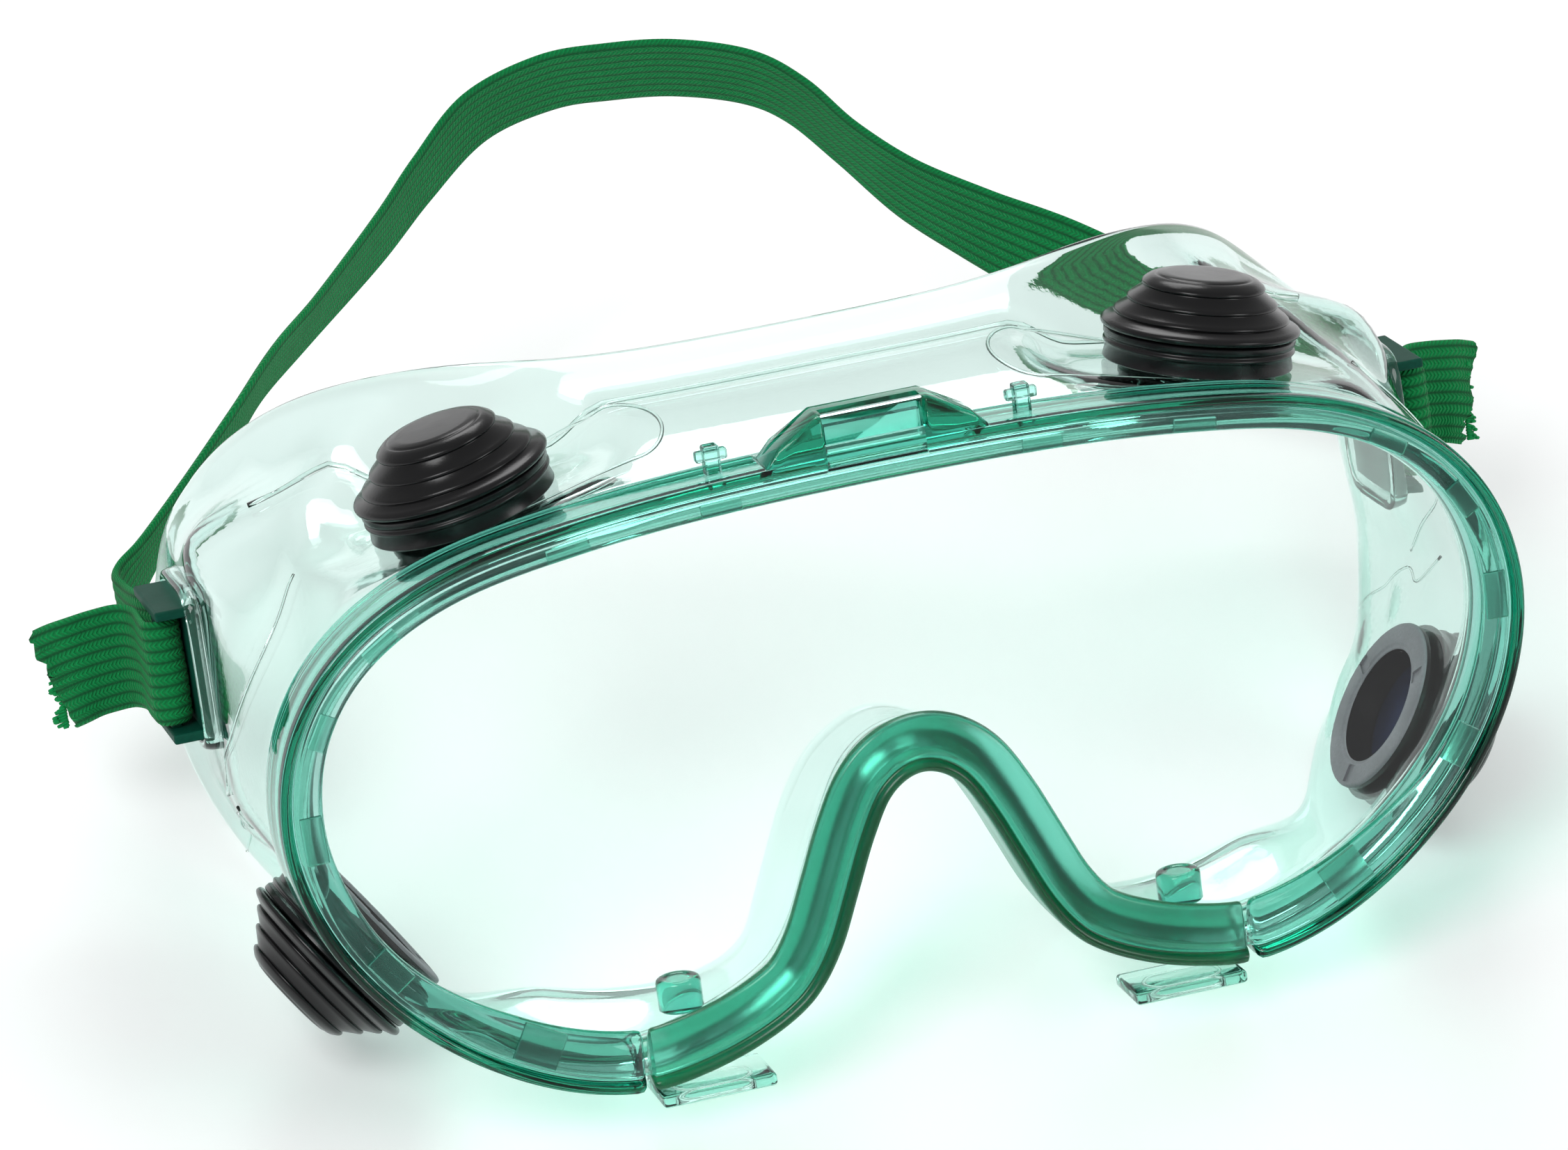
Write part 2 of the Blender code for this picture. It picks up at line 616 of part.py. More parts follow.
def strap_end_rows():
    """Centre line of the webbing's end on the right: in along the plate, round the bar, back over it and away."""
    x, y, z = clip_centre(1)
    foot = x + SLEEVE
    inner = foot + CLIP_PLATE + 0.2 + STRAP_THICK / 2
    outer = foot + CLIP_BAR_HIGH + CLIP_BAR_THICK / 2 + 0.8 + STRAP_THICK / 2
    front = y + CLIP_BAR_AT - CLIP_BAR_LONG / 2 - SLEEVE - STRAP_THICK / 2
    return [
        ((inner, y + 10.0, z), 1), ((inner, y + 6.0, z), 1), ((inner, y + 1.5, z), 1), ((inner, y - 2.0, z), 2),
        ((inner + 0.25, front + 0.9, z), 2), (((inner + outer) / 2, front, z), 2),
        ((outer - 0.25, front + 0.9, z), 2),
        ((outer, y - 1.0, z), 1), ((outer, y + 4.5, z), 2), ((outer + 1.6, y + 7.6, z), 2),
        ((outer + 5.0, y + 9.0, z - 0.5), 2), ((outer + 8.4, y + 9.8, z - 1.2), 2),
        ((outer + 11.4, y + 11.4, z - 2.4), 0),
    ]


def make_straps(main):
    band("head_strap", [((x * SX, y * SY, z * SZ), w) for (x, y, z), w in STRAP_PATH], main, 3)
    rows = strap_end_rows()
    centres = spline([place for place, _ in rows], [steps for _, steps in rows[:-1]])
    tangent = np.gradient(centres, axis=0)
    tangent /= np.linalg.norm(tangent, axis=1, keepdims=True)
    for side in (-1, 1):
        rings = []
        for c, t in zip(centres, tangent):
            w = np.array([0.0, 0.0, 1.0])
            w = w - t * float(w @ t)
            w /= np.linalg.norm(w)
            rings.append([np.array((p[0] * side, p[1], p[2])) for p in band_ring(c, w, np.cross(t, w))])
        sections(f"strap_end_{side_name(side)}", rings, main, "strap")


def make_studs(main):
    """Short round studs standing on the skirt floor behind the bridge, and the grip tabs under it."""
    foot = STUD_FOOT + SKIRT_WALL - 1.8
    edge = 0.4
    profile = [
        (0, STUD_TALL), (STUD_RADIUS - edge, STUD_TALL), (STUD_RADIUS, STUD_TALL - edge), (STUD_RADIUS, 0), (0, 0),
    ]
    for side in (-1, 1):
        tag = side_name(side)
        stud_home = Matrix.Translation(Vector((side * STUD_AT[0] * SX, STUD_AT[1], foot * SZ)) * MM)
        turned(f"bridge_stud_{tag}", profile, stud_home, main, "rim")
        tab_centre = (side * TAB_AT[0] * SX, TAB_AT[1], TAB_AT[2] * SZ)
        block(f"grip_tab_{tag}", tab_centre, TAB_SIZE, main, "skirt", bevel=0.5)


# ---------------------------------------------------------------- assembly
def lay_down(moving):
    """Leans everything back and stands it on z = 0, centred on the z axis."""
    lean = Matrix.Rotation(-math.radians(LEAN_DEG), 4, "X")
    for obj in bpy.data.objects:
        home = HOME.get(obj.name, Matrix.Identity(4))
        if obj.name in moving:
            shift = Vector(moving[obj.name]) * MM
            obj.data.transform(Matrix.Translation(-shift))
            home = Matrix.Translation(shift)
        obj.matrix_world = lean @ home
    bpy.context.view_layer.update()
    graph = bpy.context.evaluated_depsgraph_get()
    low, high = Vector((9, 9, 9)), Vector((-9, -9, -9))
    for obj in bpy.data.collections["Safety goggles"].objects:
        done = obj.evaluated_get(graph)
        mesh = done.to_mesh()
        for vertex in mesh.vertices:
            p = obj.matrix_world @ vertex.co
            for k in range(3):
                low[k], high[k] = min(low[k], p[k]), max(high[k], p[k])
        done.to_mesh_clear()
    move = Matrix.Translation(Vector((-(low.x + high.x) / 2, -(low.y + high.y) / 2, -low.z)))
    for obj in bpy.data.objects:
        obj.matrix_world = move @ obj.matrix_world
    bpy.context.view_layer.update()
    print("moved by", [round(c / MM, 3) for c in move.translation])


def main():
    clear_scene()
    scene = bpy.context.scene
    scene.unit_settings.system = "METRIC"
    scene.unit_settings.scale_length = 1.0
    pieces, cutters = make_collections()
    make_skirt(pieces, cutters)
    make_lens(pieces)
    make_rim(pieces, cutters)
    make_bridge(pieces)
    make_vents(pieces)
    make_clips(pieces, cutters)
    make_straps(pieces)
    make_studs(pieces)
    lay_down({"head_strap": (0.0, (CLIP_AT[1] + HINGE_BEHIND_CLIP) * SY, CLIP_AT[2] * SZ)})


if __name__ == "__main__":
    main()
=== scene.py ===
"""Safety goggles with a soft clear face skirt, capped vents, a clamped lens and an elastic headband.

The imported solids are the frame; this file builds the pieces that are seen, their finishes and a plain stage.
Shapes are worked out in millimetres in the goggles' own axes (x across, y from the lens to the face, z up)
and put in place by PLACE, which is read from the joints.
"""
import json
import math
import random

import bmesh
import bpy
import numpy as np
from bpy.props import FloatProperty, FloatVectorProperty, IntProperty, PointerProperty
from mathutils import Matrix, Vector
from mathutils.bvhtree import BVHTree


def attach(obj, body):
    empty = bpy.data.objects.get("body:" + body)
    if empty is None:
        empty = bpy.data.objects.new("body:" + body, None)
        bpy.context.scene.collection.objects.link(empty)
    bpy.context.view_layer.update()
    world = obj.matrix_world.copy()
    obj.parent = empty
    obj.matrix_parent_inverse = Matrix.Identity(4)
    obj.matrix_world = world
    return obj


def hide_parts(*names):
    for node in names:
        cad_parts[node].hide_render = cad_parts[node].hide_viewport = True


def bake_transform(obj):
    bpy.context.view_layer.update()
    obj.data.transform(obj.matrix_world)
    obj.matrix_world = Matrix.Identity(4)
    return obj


bl_info = {
    "name": "Safety goggles",
    "version": (1, 0, 0),
    "blender": (4, 5, 0),
    "location": "3D View > Sidebar > Goggles",
    "description": "Builds clear chemical splash goggles around their packed frame",
    "category": "Object",
}

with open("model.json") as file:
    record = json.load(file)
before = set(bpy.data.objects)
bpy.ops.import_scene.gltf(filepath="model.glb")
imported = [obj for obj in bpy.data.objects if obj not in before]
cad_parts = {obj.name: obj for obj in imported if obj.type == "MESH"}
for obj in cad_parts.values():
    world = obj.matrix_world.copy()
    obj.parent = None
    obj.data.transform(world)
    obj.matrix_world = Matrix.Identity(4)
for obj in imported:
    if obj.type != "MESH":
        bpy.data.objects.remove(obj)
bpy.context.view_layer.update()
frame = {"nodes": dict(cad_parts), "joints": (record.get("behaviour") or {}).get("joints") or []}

MM = 0.001
FRAME_BODY = "goggles_frame"

# ---------------------------------------------------------------- sizes shared with the frame (mm)
RIM_DEPTH = 10.5
RIM_WALL = 1.4
LENS_FRONT = 2.1
LENS_THICK = 1.5
SLEEVE = 0.3
SKIRT_WALL = 1.8
NECK_INSET = 3.9
SHOULDER_INSET = 1.1
SHOULDER_DROP = 2.1
VENT_TOP_AT = (51.9, 24.4, 78.2)
VENT_LOW_AT = (74.8, 25.6, 22.9)
VENT_TOP_OUTWARD = math.radians(12)
VENT_LOW_OUTWARD = math.radians(124)
VENT_NECK_RADIUS = 9.6
CLIP_AT = (86.0, 56.5, 56.5)
CLIP_LONG = 16.0
CLIP_PLATE = 1.4
CLIP_CHEEK = 1.4
CLIP_DEEP = 5.6
CLIP_BAR_AT = -2.5
CLIP_BAR_HIGH = 4.3
CLIP_BAR_LONG = 3.2
CLIP_BAR_THICK = 1.6
STRAP_WIDTH = 15.0
STRAP_THICK = 1.3
WEBBING_PLAY = 0.6
CLIP_TALL = STRAP_WIDTH + 2 * (WEBBING_PLAY + CLIP_CHEEK)
HINGE_AT = (0.0, 69.2, 56.5)
STUD_AT = (35.6, 8.6, 8.4)
TAB_AT = (33.5, 5.2, -1.4)

# Half outlines from the top centre to the nose arch: the front edge (x, z) and the rear edge (x, y, z).
FRONT = [
    (0, 82.5), (25, 82.0), (44, 80.4), (59, 77.8), (70.5, 73.2), (79, 66.6), (84.6, 58),
    (87, 48), (86.2, 38), (82.2, 27.5), (75, 17.5), (65, 8.8), (54, 2.9), (43, 0.4),
    (33, 1.9), (25, 4.8), (18.6, 8.9), (14.4, 14.6), (11, 22), (7.8, 29.2), (4.4, 34.8), (0, 36.9),
]
REAR = [
    (0, 46, 90), (24, 46.5, 90.3), (43, 51, 91.2), (57, 60, 90), (68.5, 70, 85.5), (77.5, 78, 78),
    (84.3, 80, 69), (87.8, 79, 57), (88.4, 74.5, 45), (85.8, 66, 32.5), (79.5, 55, 21.5),
    (70.5, 44, 13), (58, 34.5, 8), (45.5, 30, 5.4), (34, 28, 4.8), (26, 27.5, 6.2),
    (20.6, 27.5, 9.8), (18, 27.5, 15.5), (15, 27.5, 22.6), (11.6, 27.8, 29.4), (7, 28, 34.8), (0, 28, 37.8),
]
SPANS = [3, 3, 2, 2, 2, 2, 2, 2, 2, 2, 3, 2, 2, 2, 1, 2, 1, 2, 2, 2, 2]
FINE = 3                   # steps here for each step of the frame's outline
BRIDGE_FROM = 13           # landmark at which the rim ends and the bridge begins
SKIRT_BULGE = [(0.0, 0.0), (0.045, 0.2), (0.20, 0.8), (0.34, 0.8), (0.50, 0.2), (0.66, -0.8), (0.84, -1.8)]

# Headband centre line and the direction of its width, from the left clip to the right one.
STRAP_PATH = [
    ((-90.6, 69.2, 56.5), (0, 0, 1)), ((-91.4, 76.0, 56.4), (0, -0.1, 1)),
    ((-91.0, 83.0, 58.0), (-0.1, -0.45, 0.9)), ((-86.5, 89.0, 62.0), (-0.06, -0.72, 0.69)),
    ((-78.0, 93.5, 69.5), (-0.1, -0.84, 0.54)), ((-69.2, 97.0, 77.2), (-0.02, -0.8, 0.6)),
    ((-62.2, 103.0, 82.4), (0.15, -0.7, 0.7)), ((-53.4, 110.0, 87.0), (0.1, -0.73, 0.68)),
    ((-40.6, 118.0, 95.0), (-0.06, -0.73, 0.68)), ((-32.2, 122.0, 101.6), (-0.2, -0.74, 0.63)),
    ((-22.8, 124.0, 108.6), (-0.28, -0.71, 0.65)), ((-12.0, 123.0, 111.9), (-0.23, -0.68, 0.7)),
    ((-3.0, 121.0, 112.2), (-0.13, -0.69, 0.71)), ((6.5, 119.0, 111.4), (-0.06, -0.71, 0.7)),
    ((16.2, 116.0, 108.8), (0, -0.75, 0.66)), ((22.4, 113.0, 104.7), (0.04, -0.82, 0.57)),
    ((28.2, 109.0, 97.9), (0.03, -0.84, 0.55)), ((35.2, 104.0, 90.6), (0.08, -0.73, 0.69)),
    ((43.5, 99.0, 84.6), (0.22, -0.62, 0.76)), ((52.6, 95.5, 78.6), (0.38, -0.45, 0.81)),
    ((64.0, 93.5, 70.5), (0.45, -0.3, 0.82)), ((76.0, 91.5, 64.0), (0.42, -0.2, 0.88)),
    ((86.0, 87.5, 59.5), (0.3, -0.2, 0.93)), ((91.0, 82.0, 57.0), (0.1, -0.15, 0.98)),
    ((91.4, 75.5, 56.2), (0, -0.05, 1)), ((90.6, 69.2, 56.5), (0, 0, 1)),
]


# ---------------------------------------------------------------- place
def goggles_place():
    """The matrix from the goggles' own axes to the frame, from a vent's axis and the headband's hinge."""
    joints = {joint["name"]: joint for joint in frame["joints"]}
    axis = Vector(joints["cap_top_left_pull"]["axis"])
    hinge = Vector(joints["headband_swing"]["pos_m"])
    turn = Matrix.Rotation(-math.atan2(axis.y, axis.z), 4, "X")
    return Matrix.Translation(hinge - turn @ (Vector(HINGE_AT) * MM)) @ turn


PLACE = goggles_place()


def put(point):
    return PLACE @ (Vector(point) * MM)


def way(direction):
    return (PLACE.to_3x3() @ Vector(direction)).normalized()


# ---------------------------------------------------------------- curves and outlines
def spline(values, spans, closed=False):
    """Points on a smooth curve through the rows, with spans[i] steps after row i."""
    rows = np.array(values, float)
    count = len(rows)
    out = []
    for i, steps in enumerate(spans):
        if closed:
            p0, p1, p2, p3 = (rows[(i + k) % count] for k in (-1, 0, 1, 2))
        else:
            p1, p2 = rows[i], rows[i + 1]
            p0 = rows[i - 1] if i > 0 else 2 * p1 - p2
            p3 = rows[i + 2] if i + 2 < count else 2 * p2 - p1
        for s in range(steps):
            t = s / steps
            out.append(0.5 * (2 * p1 + (p2 - p0) * t + (2 * p0 - 5 * p1 + 4 * p2 - p3) * t * t
                              + (3 * p1 - p0 - 3 * p2 + p3) * t ** 3))
    if not closed:
        out.append(rows[-1])
    return np.array(out)


def mirrored_half(rows):
    """A closed left-right symmetric loop from the half whose first and last rows lie on x = 0."""
    rows = np.array(rows, float)
    flip = np.ones(rows.shape[1])
    flip[0] = -1
    whole = np.vstack([rows, (rows[1:-1] * flip)[::-1]])
    spans = [s * FINE for s in SPANS]
    return spline(whole, spans + spans[::-1], closed=True)


FRONT_LOOP = mirrored_half(FRONT)
REAR_LOOP = mirrored_half(REAR)
COUNT = len(FRONT_LOOP)
BRIDGE_AT = FINE * sum(SPANS[:BRIDGE_FROM])
STEP = np.roll(FRONT_LOOP, -1, axis=0) - np.roll(FRONT_LOOP, 1, axis=0)
NORMAL = np.stack([-STEP[:, 1], STEP[:, 0]], 1)
NORMAL /= np.linalg.norm(NORMAL, axis=1, keepdims=True)


def smooth_step(value):
    value = min(1.0, max(0.0, value))
    return value * value * (3 - 2 * value)


def at_offset(index, inset, y):
    p = FRONT_LOOP[index % COUNT] - NORMAL[index % COUNT] * inset
    return (p[0], y, p[1])


def along_half(index):
    """How far round from the top centre, in the frame's own steps."""
    index %= COUNT
    return min(index, COUNT - index) / FINE


def band_width(index, sizes):
    h = along_half(index)
    side = smooth_step((h - 8) / 12.0)
    end = smooth_step((h - (BRIDGE_AT / FINE - 9)) / 8.0)
    widest = (sizes.band_end - sizes.band_side) * end
    return sizes.band_top + (sizes.band_side - sizes.band_top) * side + widest


def vent_frames():
    """(side, place, centre, outward axis) of each of the four vents."""
    out = []
    for side in (-1, 1):
        for place, at, angle in (("top", VENT_TOP_AT, VENT_TOP_OUTWARD),
            ("low", VENT_LOW_AT, VENT_LOW_OUTWARD)):
            axis = Vector((side * math.sin(angle), 0, math.cos(angle)))
            out.append((side, place, Vector((side * at[0], at[1], at[2])), axis))
    return out


def skirt_outside():
    """The outer surface of the skirt as a grid: outline places by rows from the shoulder to the rear edge."""
    grid = []
    for i in range(COUNT):
        f, n, rear = FRONT_LOOP[i], NORMAL[i], REAR_LOOP[i]
        start = np.array([f[0] - n[0] * SHOULDER_INSET, RIM_DEPTH + 0.9, f[1] - n[1] * SHOULDER_INSET])
        bulge = 1 - smooth_step((along_half(i) - (BRIDGE_AT / FINE - 4)) / 8.0)
        out = np.array([n[0], 0.0, n[1]])
        grid.append([start + (rear - start) * t + out * push * bulge for t, push in SKIRT_BULGE] + [rear])
    grid = np.array(grid)
    flats = [(np.array(c), np.array(a), 19.0, 27.0) for _, _, c, a in vent_frames()]
    for side in (-1, 1):
        flats.append((np.array((side * CLIP_AT[0], CLIP_AT[1], CLIP_AT[2])), np.array((side, 0, 0)), 16.0,
            23.0))
    for centre, axis, flat, free in flats:
        offset = grid - centre
        high = offset @ axis
        away = np.linalg.norm(offset - high[..., None] * axis, axis=2)
        weight = np.vectorize(smooth_step)((away - flat) / (free - flat))
        drop = np.where(np.abs(high) < 16, high * (1 - weight), 0.0)
        drop[:, 0] = np.clip(drop[:, 0], 0.0, SHOULDER_DROP)
        grid -= drop[..., None] * axis
    fine = [spline(column, [2] * (len(column) - 1)) for column in grid]
    return np.array(fine)


SKIN = skirt_outside()


def skin_normals():
    across = np.roll(SKIN, -1, axis=0) - np.roll(SKIN, 1, axis=0)
    along = np.gradient(SKIN, axis=1)
    normal = np.cross(along, across)
    normal /= np.linalg.norm(normal, axis=2, keepdims=True)
    return normal * np.sign(normal[0, 3, 2])


SKIN_NORMAL = skin_normals()


# ---------------------------------------------------------------- modelling helpers
def set_ring(ring, points):
    for vertex, point in zip(ring, points):
        vertex.co = put(point)


def ring_edges(ring):
    """The edges of a closed ring of vertices."""
    pairs = zip(ring, ring[1:] + ring[:1])
    return [next(e for e in a.link_edges if e.other_vert(a) is b) for a, b in pairs]


def skin_through(work, rings, closed=False, marks=None):
    """Draws a skin through rings of points: the first ring is extruded from each place to the next."""
    layers = [work.verts.layers.float.get(n) or work.verts.layers.float.new(n) for n in ("along",
        "across")] if marks else []
    ring = bmesh.ops.create_circle(work, segments=len(rings[0]), radius=1.0)["verts"]
    first = ring
    for k, points in enumerate(rings):
        if k:
            made = bmesh.ops.extrude_edge_only(work, edges=ring_edges(ring))["geom"]
            fresh = {g for g in made if isinstance(g, bmesh.types.BMVert)}
            ring = [next(e.other_vert(v) for e in v.link_edges if e.other_vert(v) in fresh) for v in ring]
        set_ring(ring, points)
        if marks:
            for vertex, across in zip(ring, marks[1]):
                vertex[layers[0]] = marks[0][k]
                vertex[layers[1]] = across
    if closed:
        bmesh.ops.bridge_loops(work, edges=ring_edges(ring) + ring_edges(first))
    else:
        for end in (first, ring):
            bmesh.ops.edgeloop_fill(work, edges=ring_edges(end))


def piece_from(work, name, smooth=True, merge=True):
    """The bmesh as an object at the origin, its faces turned outward."""
    if merge:
        bmesh.ops.remove_doubles(work, verts=work.verts, dist=1e-6)
    bmesh.ops.recalc_face_normals(work, faces=work.faces)
    if work.calc_volume(signed=True) < 0:
        bmesh.ops.reverse_faces(work, faces=work.faces)
    mesh = bpy.data.meshes.new(name)
    work.to_mesh(mesh)
    work.free()
    for face in mesh.polygons:
        face.use_smooth = smooth
    obj = bpy.data.objects.new(name, mesh)
    bpy.context.scene.collection.objects.link(obj)
    return obj


def subdivide(obj, levels=1):
    mod = obj.modifiers.new("Smooth", "SUBSURF")
    mod.levels = levels
    mod.render_levels = levels
    return mod


def round_edges(obj, width, segments=2, angle=30):
    mod = obj.modifiers.new("Round", "BEVEL")
    mod.width = width * MM
    mod.segments = segments
    mod.limit_method = "ANGLE"
    mod.angle_limit = math.radians(angle)
    mod.harden_normals = True
    return mod


def settle(obj, *used):
    """Applies the modifiers and removes the objects that they used."""
    graph = bpy.context.evaluated_depsgraph_get()
    mesh = bpy.data.meshes.new_from_object(obj.evaluated_get(graph))
    obj.modifiers.clear()
    obj.data = mesh
    for other in used:
        bpy.data.objects.remove(other, do_unlink=True)
    return obj


def combine(obj, other, operation):
    mod = obj.modifiers.new(other.name, "BOOLEAN")
    mod.operation = operation
    mod.solver = "EXACT"
    mod.object = other


def soften(points, reach=0.25, closed=True):
    """Two points near each corner instead of one, so that smoothing rounds it only a little."""
    rows = [np.array(p, float) for p in points]
    out = []
    for k, here in enumerate(rows):
        if not closed and k in (0, len(rows) - 1):
            out.append(here)
            continue
        for other in (rows[k - 1], rows[(k + 1) % len(rows)]):
            gap = other - here
            length = np.linalg.norm(gap)
            out.append(here + gap * min(reach / max(length, 1e-9), 0.33))
    return out


def turned(name, profile, home, steps=96, reach=0.22):
    """A body of revolution from a profile of (radius, height): on the axis at both ends, or a ring."""
    ring = profile[0][0] > 0
    rows = soften(profile, reach, closed=ring)
    work = bmesh.new()
    verts = [work.verts.new((r * MM, 0, h * MM)) for r, h in rows]
    pairs = zip(verts, verts[1:] + ([verts[0]] if ring else []))
    edges = [work.edges.new(pair) for pair in pairs]
    bmesh.ops.spin(work, geom=verts + edges, cent=(0, 0, 0), axis=(0, 0, 1), angle=2 * math.pi, steps=steps,
        use_merge=True)
    bmesh.ops.transform(work, matrix=home, verts=work.verts)
    return piece_from(work, name)


def block(work, centre, size, turn=None, chamfer=0.0, segments=2):
    """A box with rounded edges, at a place in the goggles' own axes."""
    cube = bmesh.ops.create_cube(work, size=1.0)["verts"]
    bmesh.ops.scale(work, vec=Vector(size) * MM, verts=cube)
    if chamfer:
        edges = list({e for v in cube for e in v.link_edges})
        made = bmesh.ops.bevel(work, geom=edges, offset=chamfer * MM, offset_type="OFFSET", segments=segments,
                               profile=0.5, affect="EDGES", material=-1)
        cube = list({v for f in made["faces"] for v in f.verts} | {v for v in cube if v.is_valid})
    home = PLACE @ Matrix.Translation(Vector(centre) * MM)
    bmesh.ops.transform(work, matrix=home @ turn.to_4x4() if turn else home, verts=cube)


def bead(work, path, radius, closed=True, sides=8):
    """A thin round bead along a path of points."""
    path = np.array(path, float)
    if closed:
        tangent = np.roll(path, -1, axis=0) - np.roll(path, 1, axis=0)
    else:
        tangent = np.gradient(path, axis=0)
    tangent /= np.linalg.norm(tangent, axis=1, keepdims=True)
    up = np.array([0.13, 0.21, 0.97])
    rings = []
    for p, t in zip(path, tangent):
        up = up - t * float(up @ t)
        up /= np.linalg.norm(up)
        side = np.cross(t, up)
        angles = [2 * math.pi * k / sides for k in range(sides)]
        rings.append([p + (up * math.cos(a) + side * math.sin(a)) * radius for a in angles])
    skin_through(work, rings, closed=closed)


def wear(obj, mat, body, stands_for=()):
    """Gives a piece its finish, its body and the frame nodes it stands for."""
    if mat:
        obj.data.materials.clear()
        obj.data.materials.append(mat)
    if body:
        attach(obj, body)
    if stands_for:
        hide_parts(*stands_for)
    return obj


# ---------------------------------------------------------------- shared shader groups
def new_group(name, inputs, outputs):
    tree = bpy.data.node_groups.new(name, "ShaderNodeTree")
    for label, kind, value in inputs:
        socket = tree.interface.new_socket(name=label, in_out="INPUT", socket_type=kind)
        if value is not None:
            socket.default_value = value
    for label, kind in outputs:
        tree.interface.new_socket(name=label, in_out="OUTPUT", socket_type=kind)
    return tree, tree.nodes.new("NodeGroupInput"), tree.nodes.new("NodeGroupOutput")


def link(tree, source, target):
    tree.links.new(source, target)


def math_node(tree, operation, a, b=None, clamp=False):
    node = tree.nodes.new("ShaderNodeMath")
    node.operation = operation
    node.use_clamp = clamp
    for socket, value in zip(node.inputs, (a, b)):
        if value is None:
            continue
        if isinstance(value, (int, float)):
            socket.default_value = value
        else:
            tree.links.new(value, socket)
    return node.outputs[0]


def mix_colour(tree, factor, a, b):
    node = tree.nodes.new("ShaderNodeMix")
    node.data_type = "RGBA"
    for socket, value in ((node.inputs["Factor"], factor), (node.inputs[6], a), (node.inputs[7], b)):
        if isinstance(value, (int, float)):
            socket.default_value = value
        elif isinstance(value, tuple):
            socket.default_value = (*value[:3], 1.0)
        else:
            tree.links.new(value, socket)
    return node.outputs[2]


def noise(tree, vector, scale, detail=3.0, rough=0.5):
    node = tree.nodes.new("ShaderNodeTexNoise")
    node.inputs["Detail"].default_value = detail
    node.inputs["Roughness"].default_value = rough
    tree.links.new(vector, node.inputs["Vector"])
    if isinstance(scale, (int, float)):
        node.inputs["Scale"].default_value = scale
    else:
        tree.links.new(scale, node.inputs["Scale"])
    return node.outputs["Fac"]


def grain_group():
    """Moulded plastic skin: a fine grain over a slow swell, as a height and a mask."""
    tree, given, out = new_group(
        "Moulded grain",
        [("Vector", "NodeSocketVector", None), ("Fine", "NodeSocketFloat", 900.0),
            ("Swell", "NodeSocketFloat", 60.0),
         ("Share", "NodeSocketFloat", 0.5)],
        [("Height", "NodeSocketFloat"), ("Mask", "NodeSocketFloat")],
    )
    fine = noise(tree, given.outputs["Vector"], given.outputs["Fine"], 2.0)
    swell = noise(tree, given.outputs["Vector"], given.outputs["Swell"], 2.0)
    weighted = math_node(tree, "MULTIPLY", fine, given.outputs["Share"])
    link(tree, math_node(tree, "ADD", weighted, swell), out.inputs["Height"])
    link(tree, math_node(tree, "MULTIPLY", fine, swell), out.inputs["Mask"])
    return tree


def smudge_group():
    """Handling marks: roughness that wanders between two values, with a few sharper streaks."""
    tree, given, out = new_group(
        "Handling marks",
        [("Vector", "NodeSocketVector", None), ("Scale", "NodeSocketFloat", 40.0),
            ("Low", "NodeSocketFloat", 0.05),
         ("High", "NodeSocketFloat", 0.15)],
        [("Roughness", "NodeSocketFloat")],
    )
    cloud = noise(tree, given.outputs["Vector"], given.outputs["Scale"], 4.0, 0.6)
    sharp = math_node(tree, "POWER", cloud, 2.2, clamp=True)
    spread = math_node(tree, "SUBTRACT", given.outputs["High"], given.outputs["Low"])
    link(tree, math_node(tree, "ADD", math_node(tree, "MULTIPLY", sharp, spread), given.outputs["Low"]),
        out.inputs["Roughness"])
    return tree


def edge_group():
    """Edge wear: how rubbed a place is, from how sharply the surface turns there, broken up by noise."""
    tree, given, out = new_group(
        "Edge wear",
        [("Vector", "NodeSocketVector", None), ("Scale", "NodeSocketFloat", 300.0),
            ("Amount", "NodeSocketFloat", 1.0)],
        [("Mask", "NodeSocketFloat")],
    )
    shape = tree.nodes.new("ShaderNodeNewGeometry")
    ramp = tree.nodes.new("ShaderNodeMapRange")
    ramp.inputs["From Min"].default_value = 0.52
    ramp.inputs["From Max"].default_value = 0.62
    link(tree, shape.outputs["Pointiness"], ramp.inputs["Value"])
    patchy = noise(tree, given.outputs["Vector"], given.outputs["Scale"], 4.0)
    worn = math_node(tree, "MULTIPLY", ramp.outputs[0], patchy)
    link(tree, math_node(tree, "MULTIPLY", worn, given.outputs["Amount"], clamp=True), out.inputs["Mask"])
    return tree


def weave_group():
    """Elastic webbing: cross picks that lean one way and then the other along each rib, as a height used for
    bump and for painted shade on low stitches, and a painted shade that is darkest midway between the ribs.
    """
    tree, given, out = new_group(
        "Webbing weave",
        [("Along", "NodeSocketFloat", 0.0), ("Across", "NodeSocketFloat", 0.0),
            ("Ribs", "NodeSocketFloat", 9.0),
         ("Pitch", "NodeSocketFloat", 0.75)],
        [("Height", "NodeSocketFloat"), ("Painted valley shade", "NodeSocketFloat")],
    )
    ribs = math_node(tree, "MULTIPLY", given.outputs["Across"], given.outputs["Ribs"])
    phase = math_node(tree, "MULTIPLY", ribs, math.pi)
    lean = math_node(tree, "MULTIPLY", math_node(tree, "PINGPONG", ribs, 0.5), 2.2)
    pick = math_node(tree, "ADD", math_node(tree, "DIVIDE", given.outputs["Along"], given.outputs["Pitch"]),
        lean)
    wave = math_node(tree, "SINE", math_node(tree, "MULTIPLY", pick, 2 * math.pi))
    stitch = math_node(tree, "ADD", math_node(tree, "MULTIPLY", wave, 0.5), 0.5)
    crown = math_node(tree, "ABSOLUTE", math_node(tree, "COSINE", phase))
    link(tree, math_node(tree, "MULTIPLY", stitch, crown), out.inputs["Height"])
    # Painted shade: the valleys between the ribs are darkened, as if less light reached them.
    deep = math_node(tree, "SUBTRACT", 1.0, crown, clamp=True)
    link(tree, math_node(tree, "POWER", deep, 1.6), out.inputs["Painted valley shade"])
    return tree


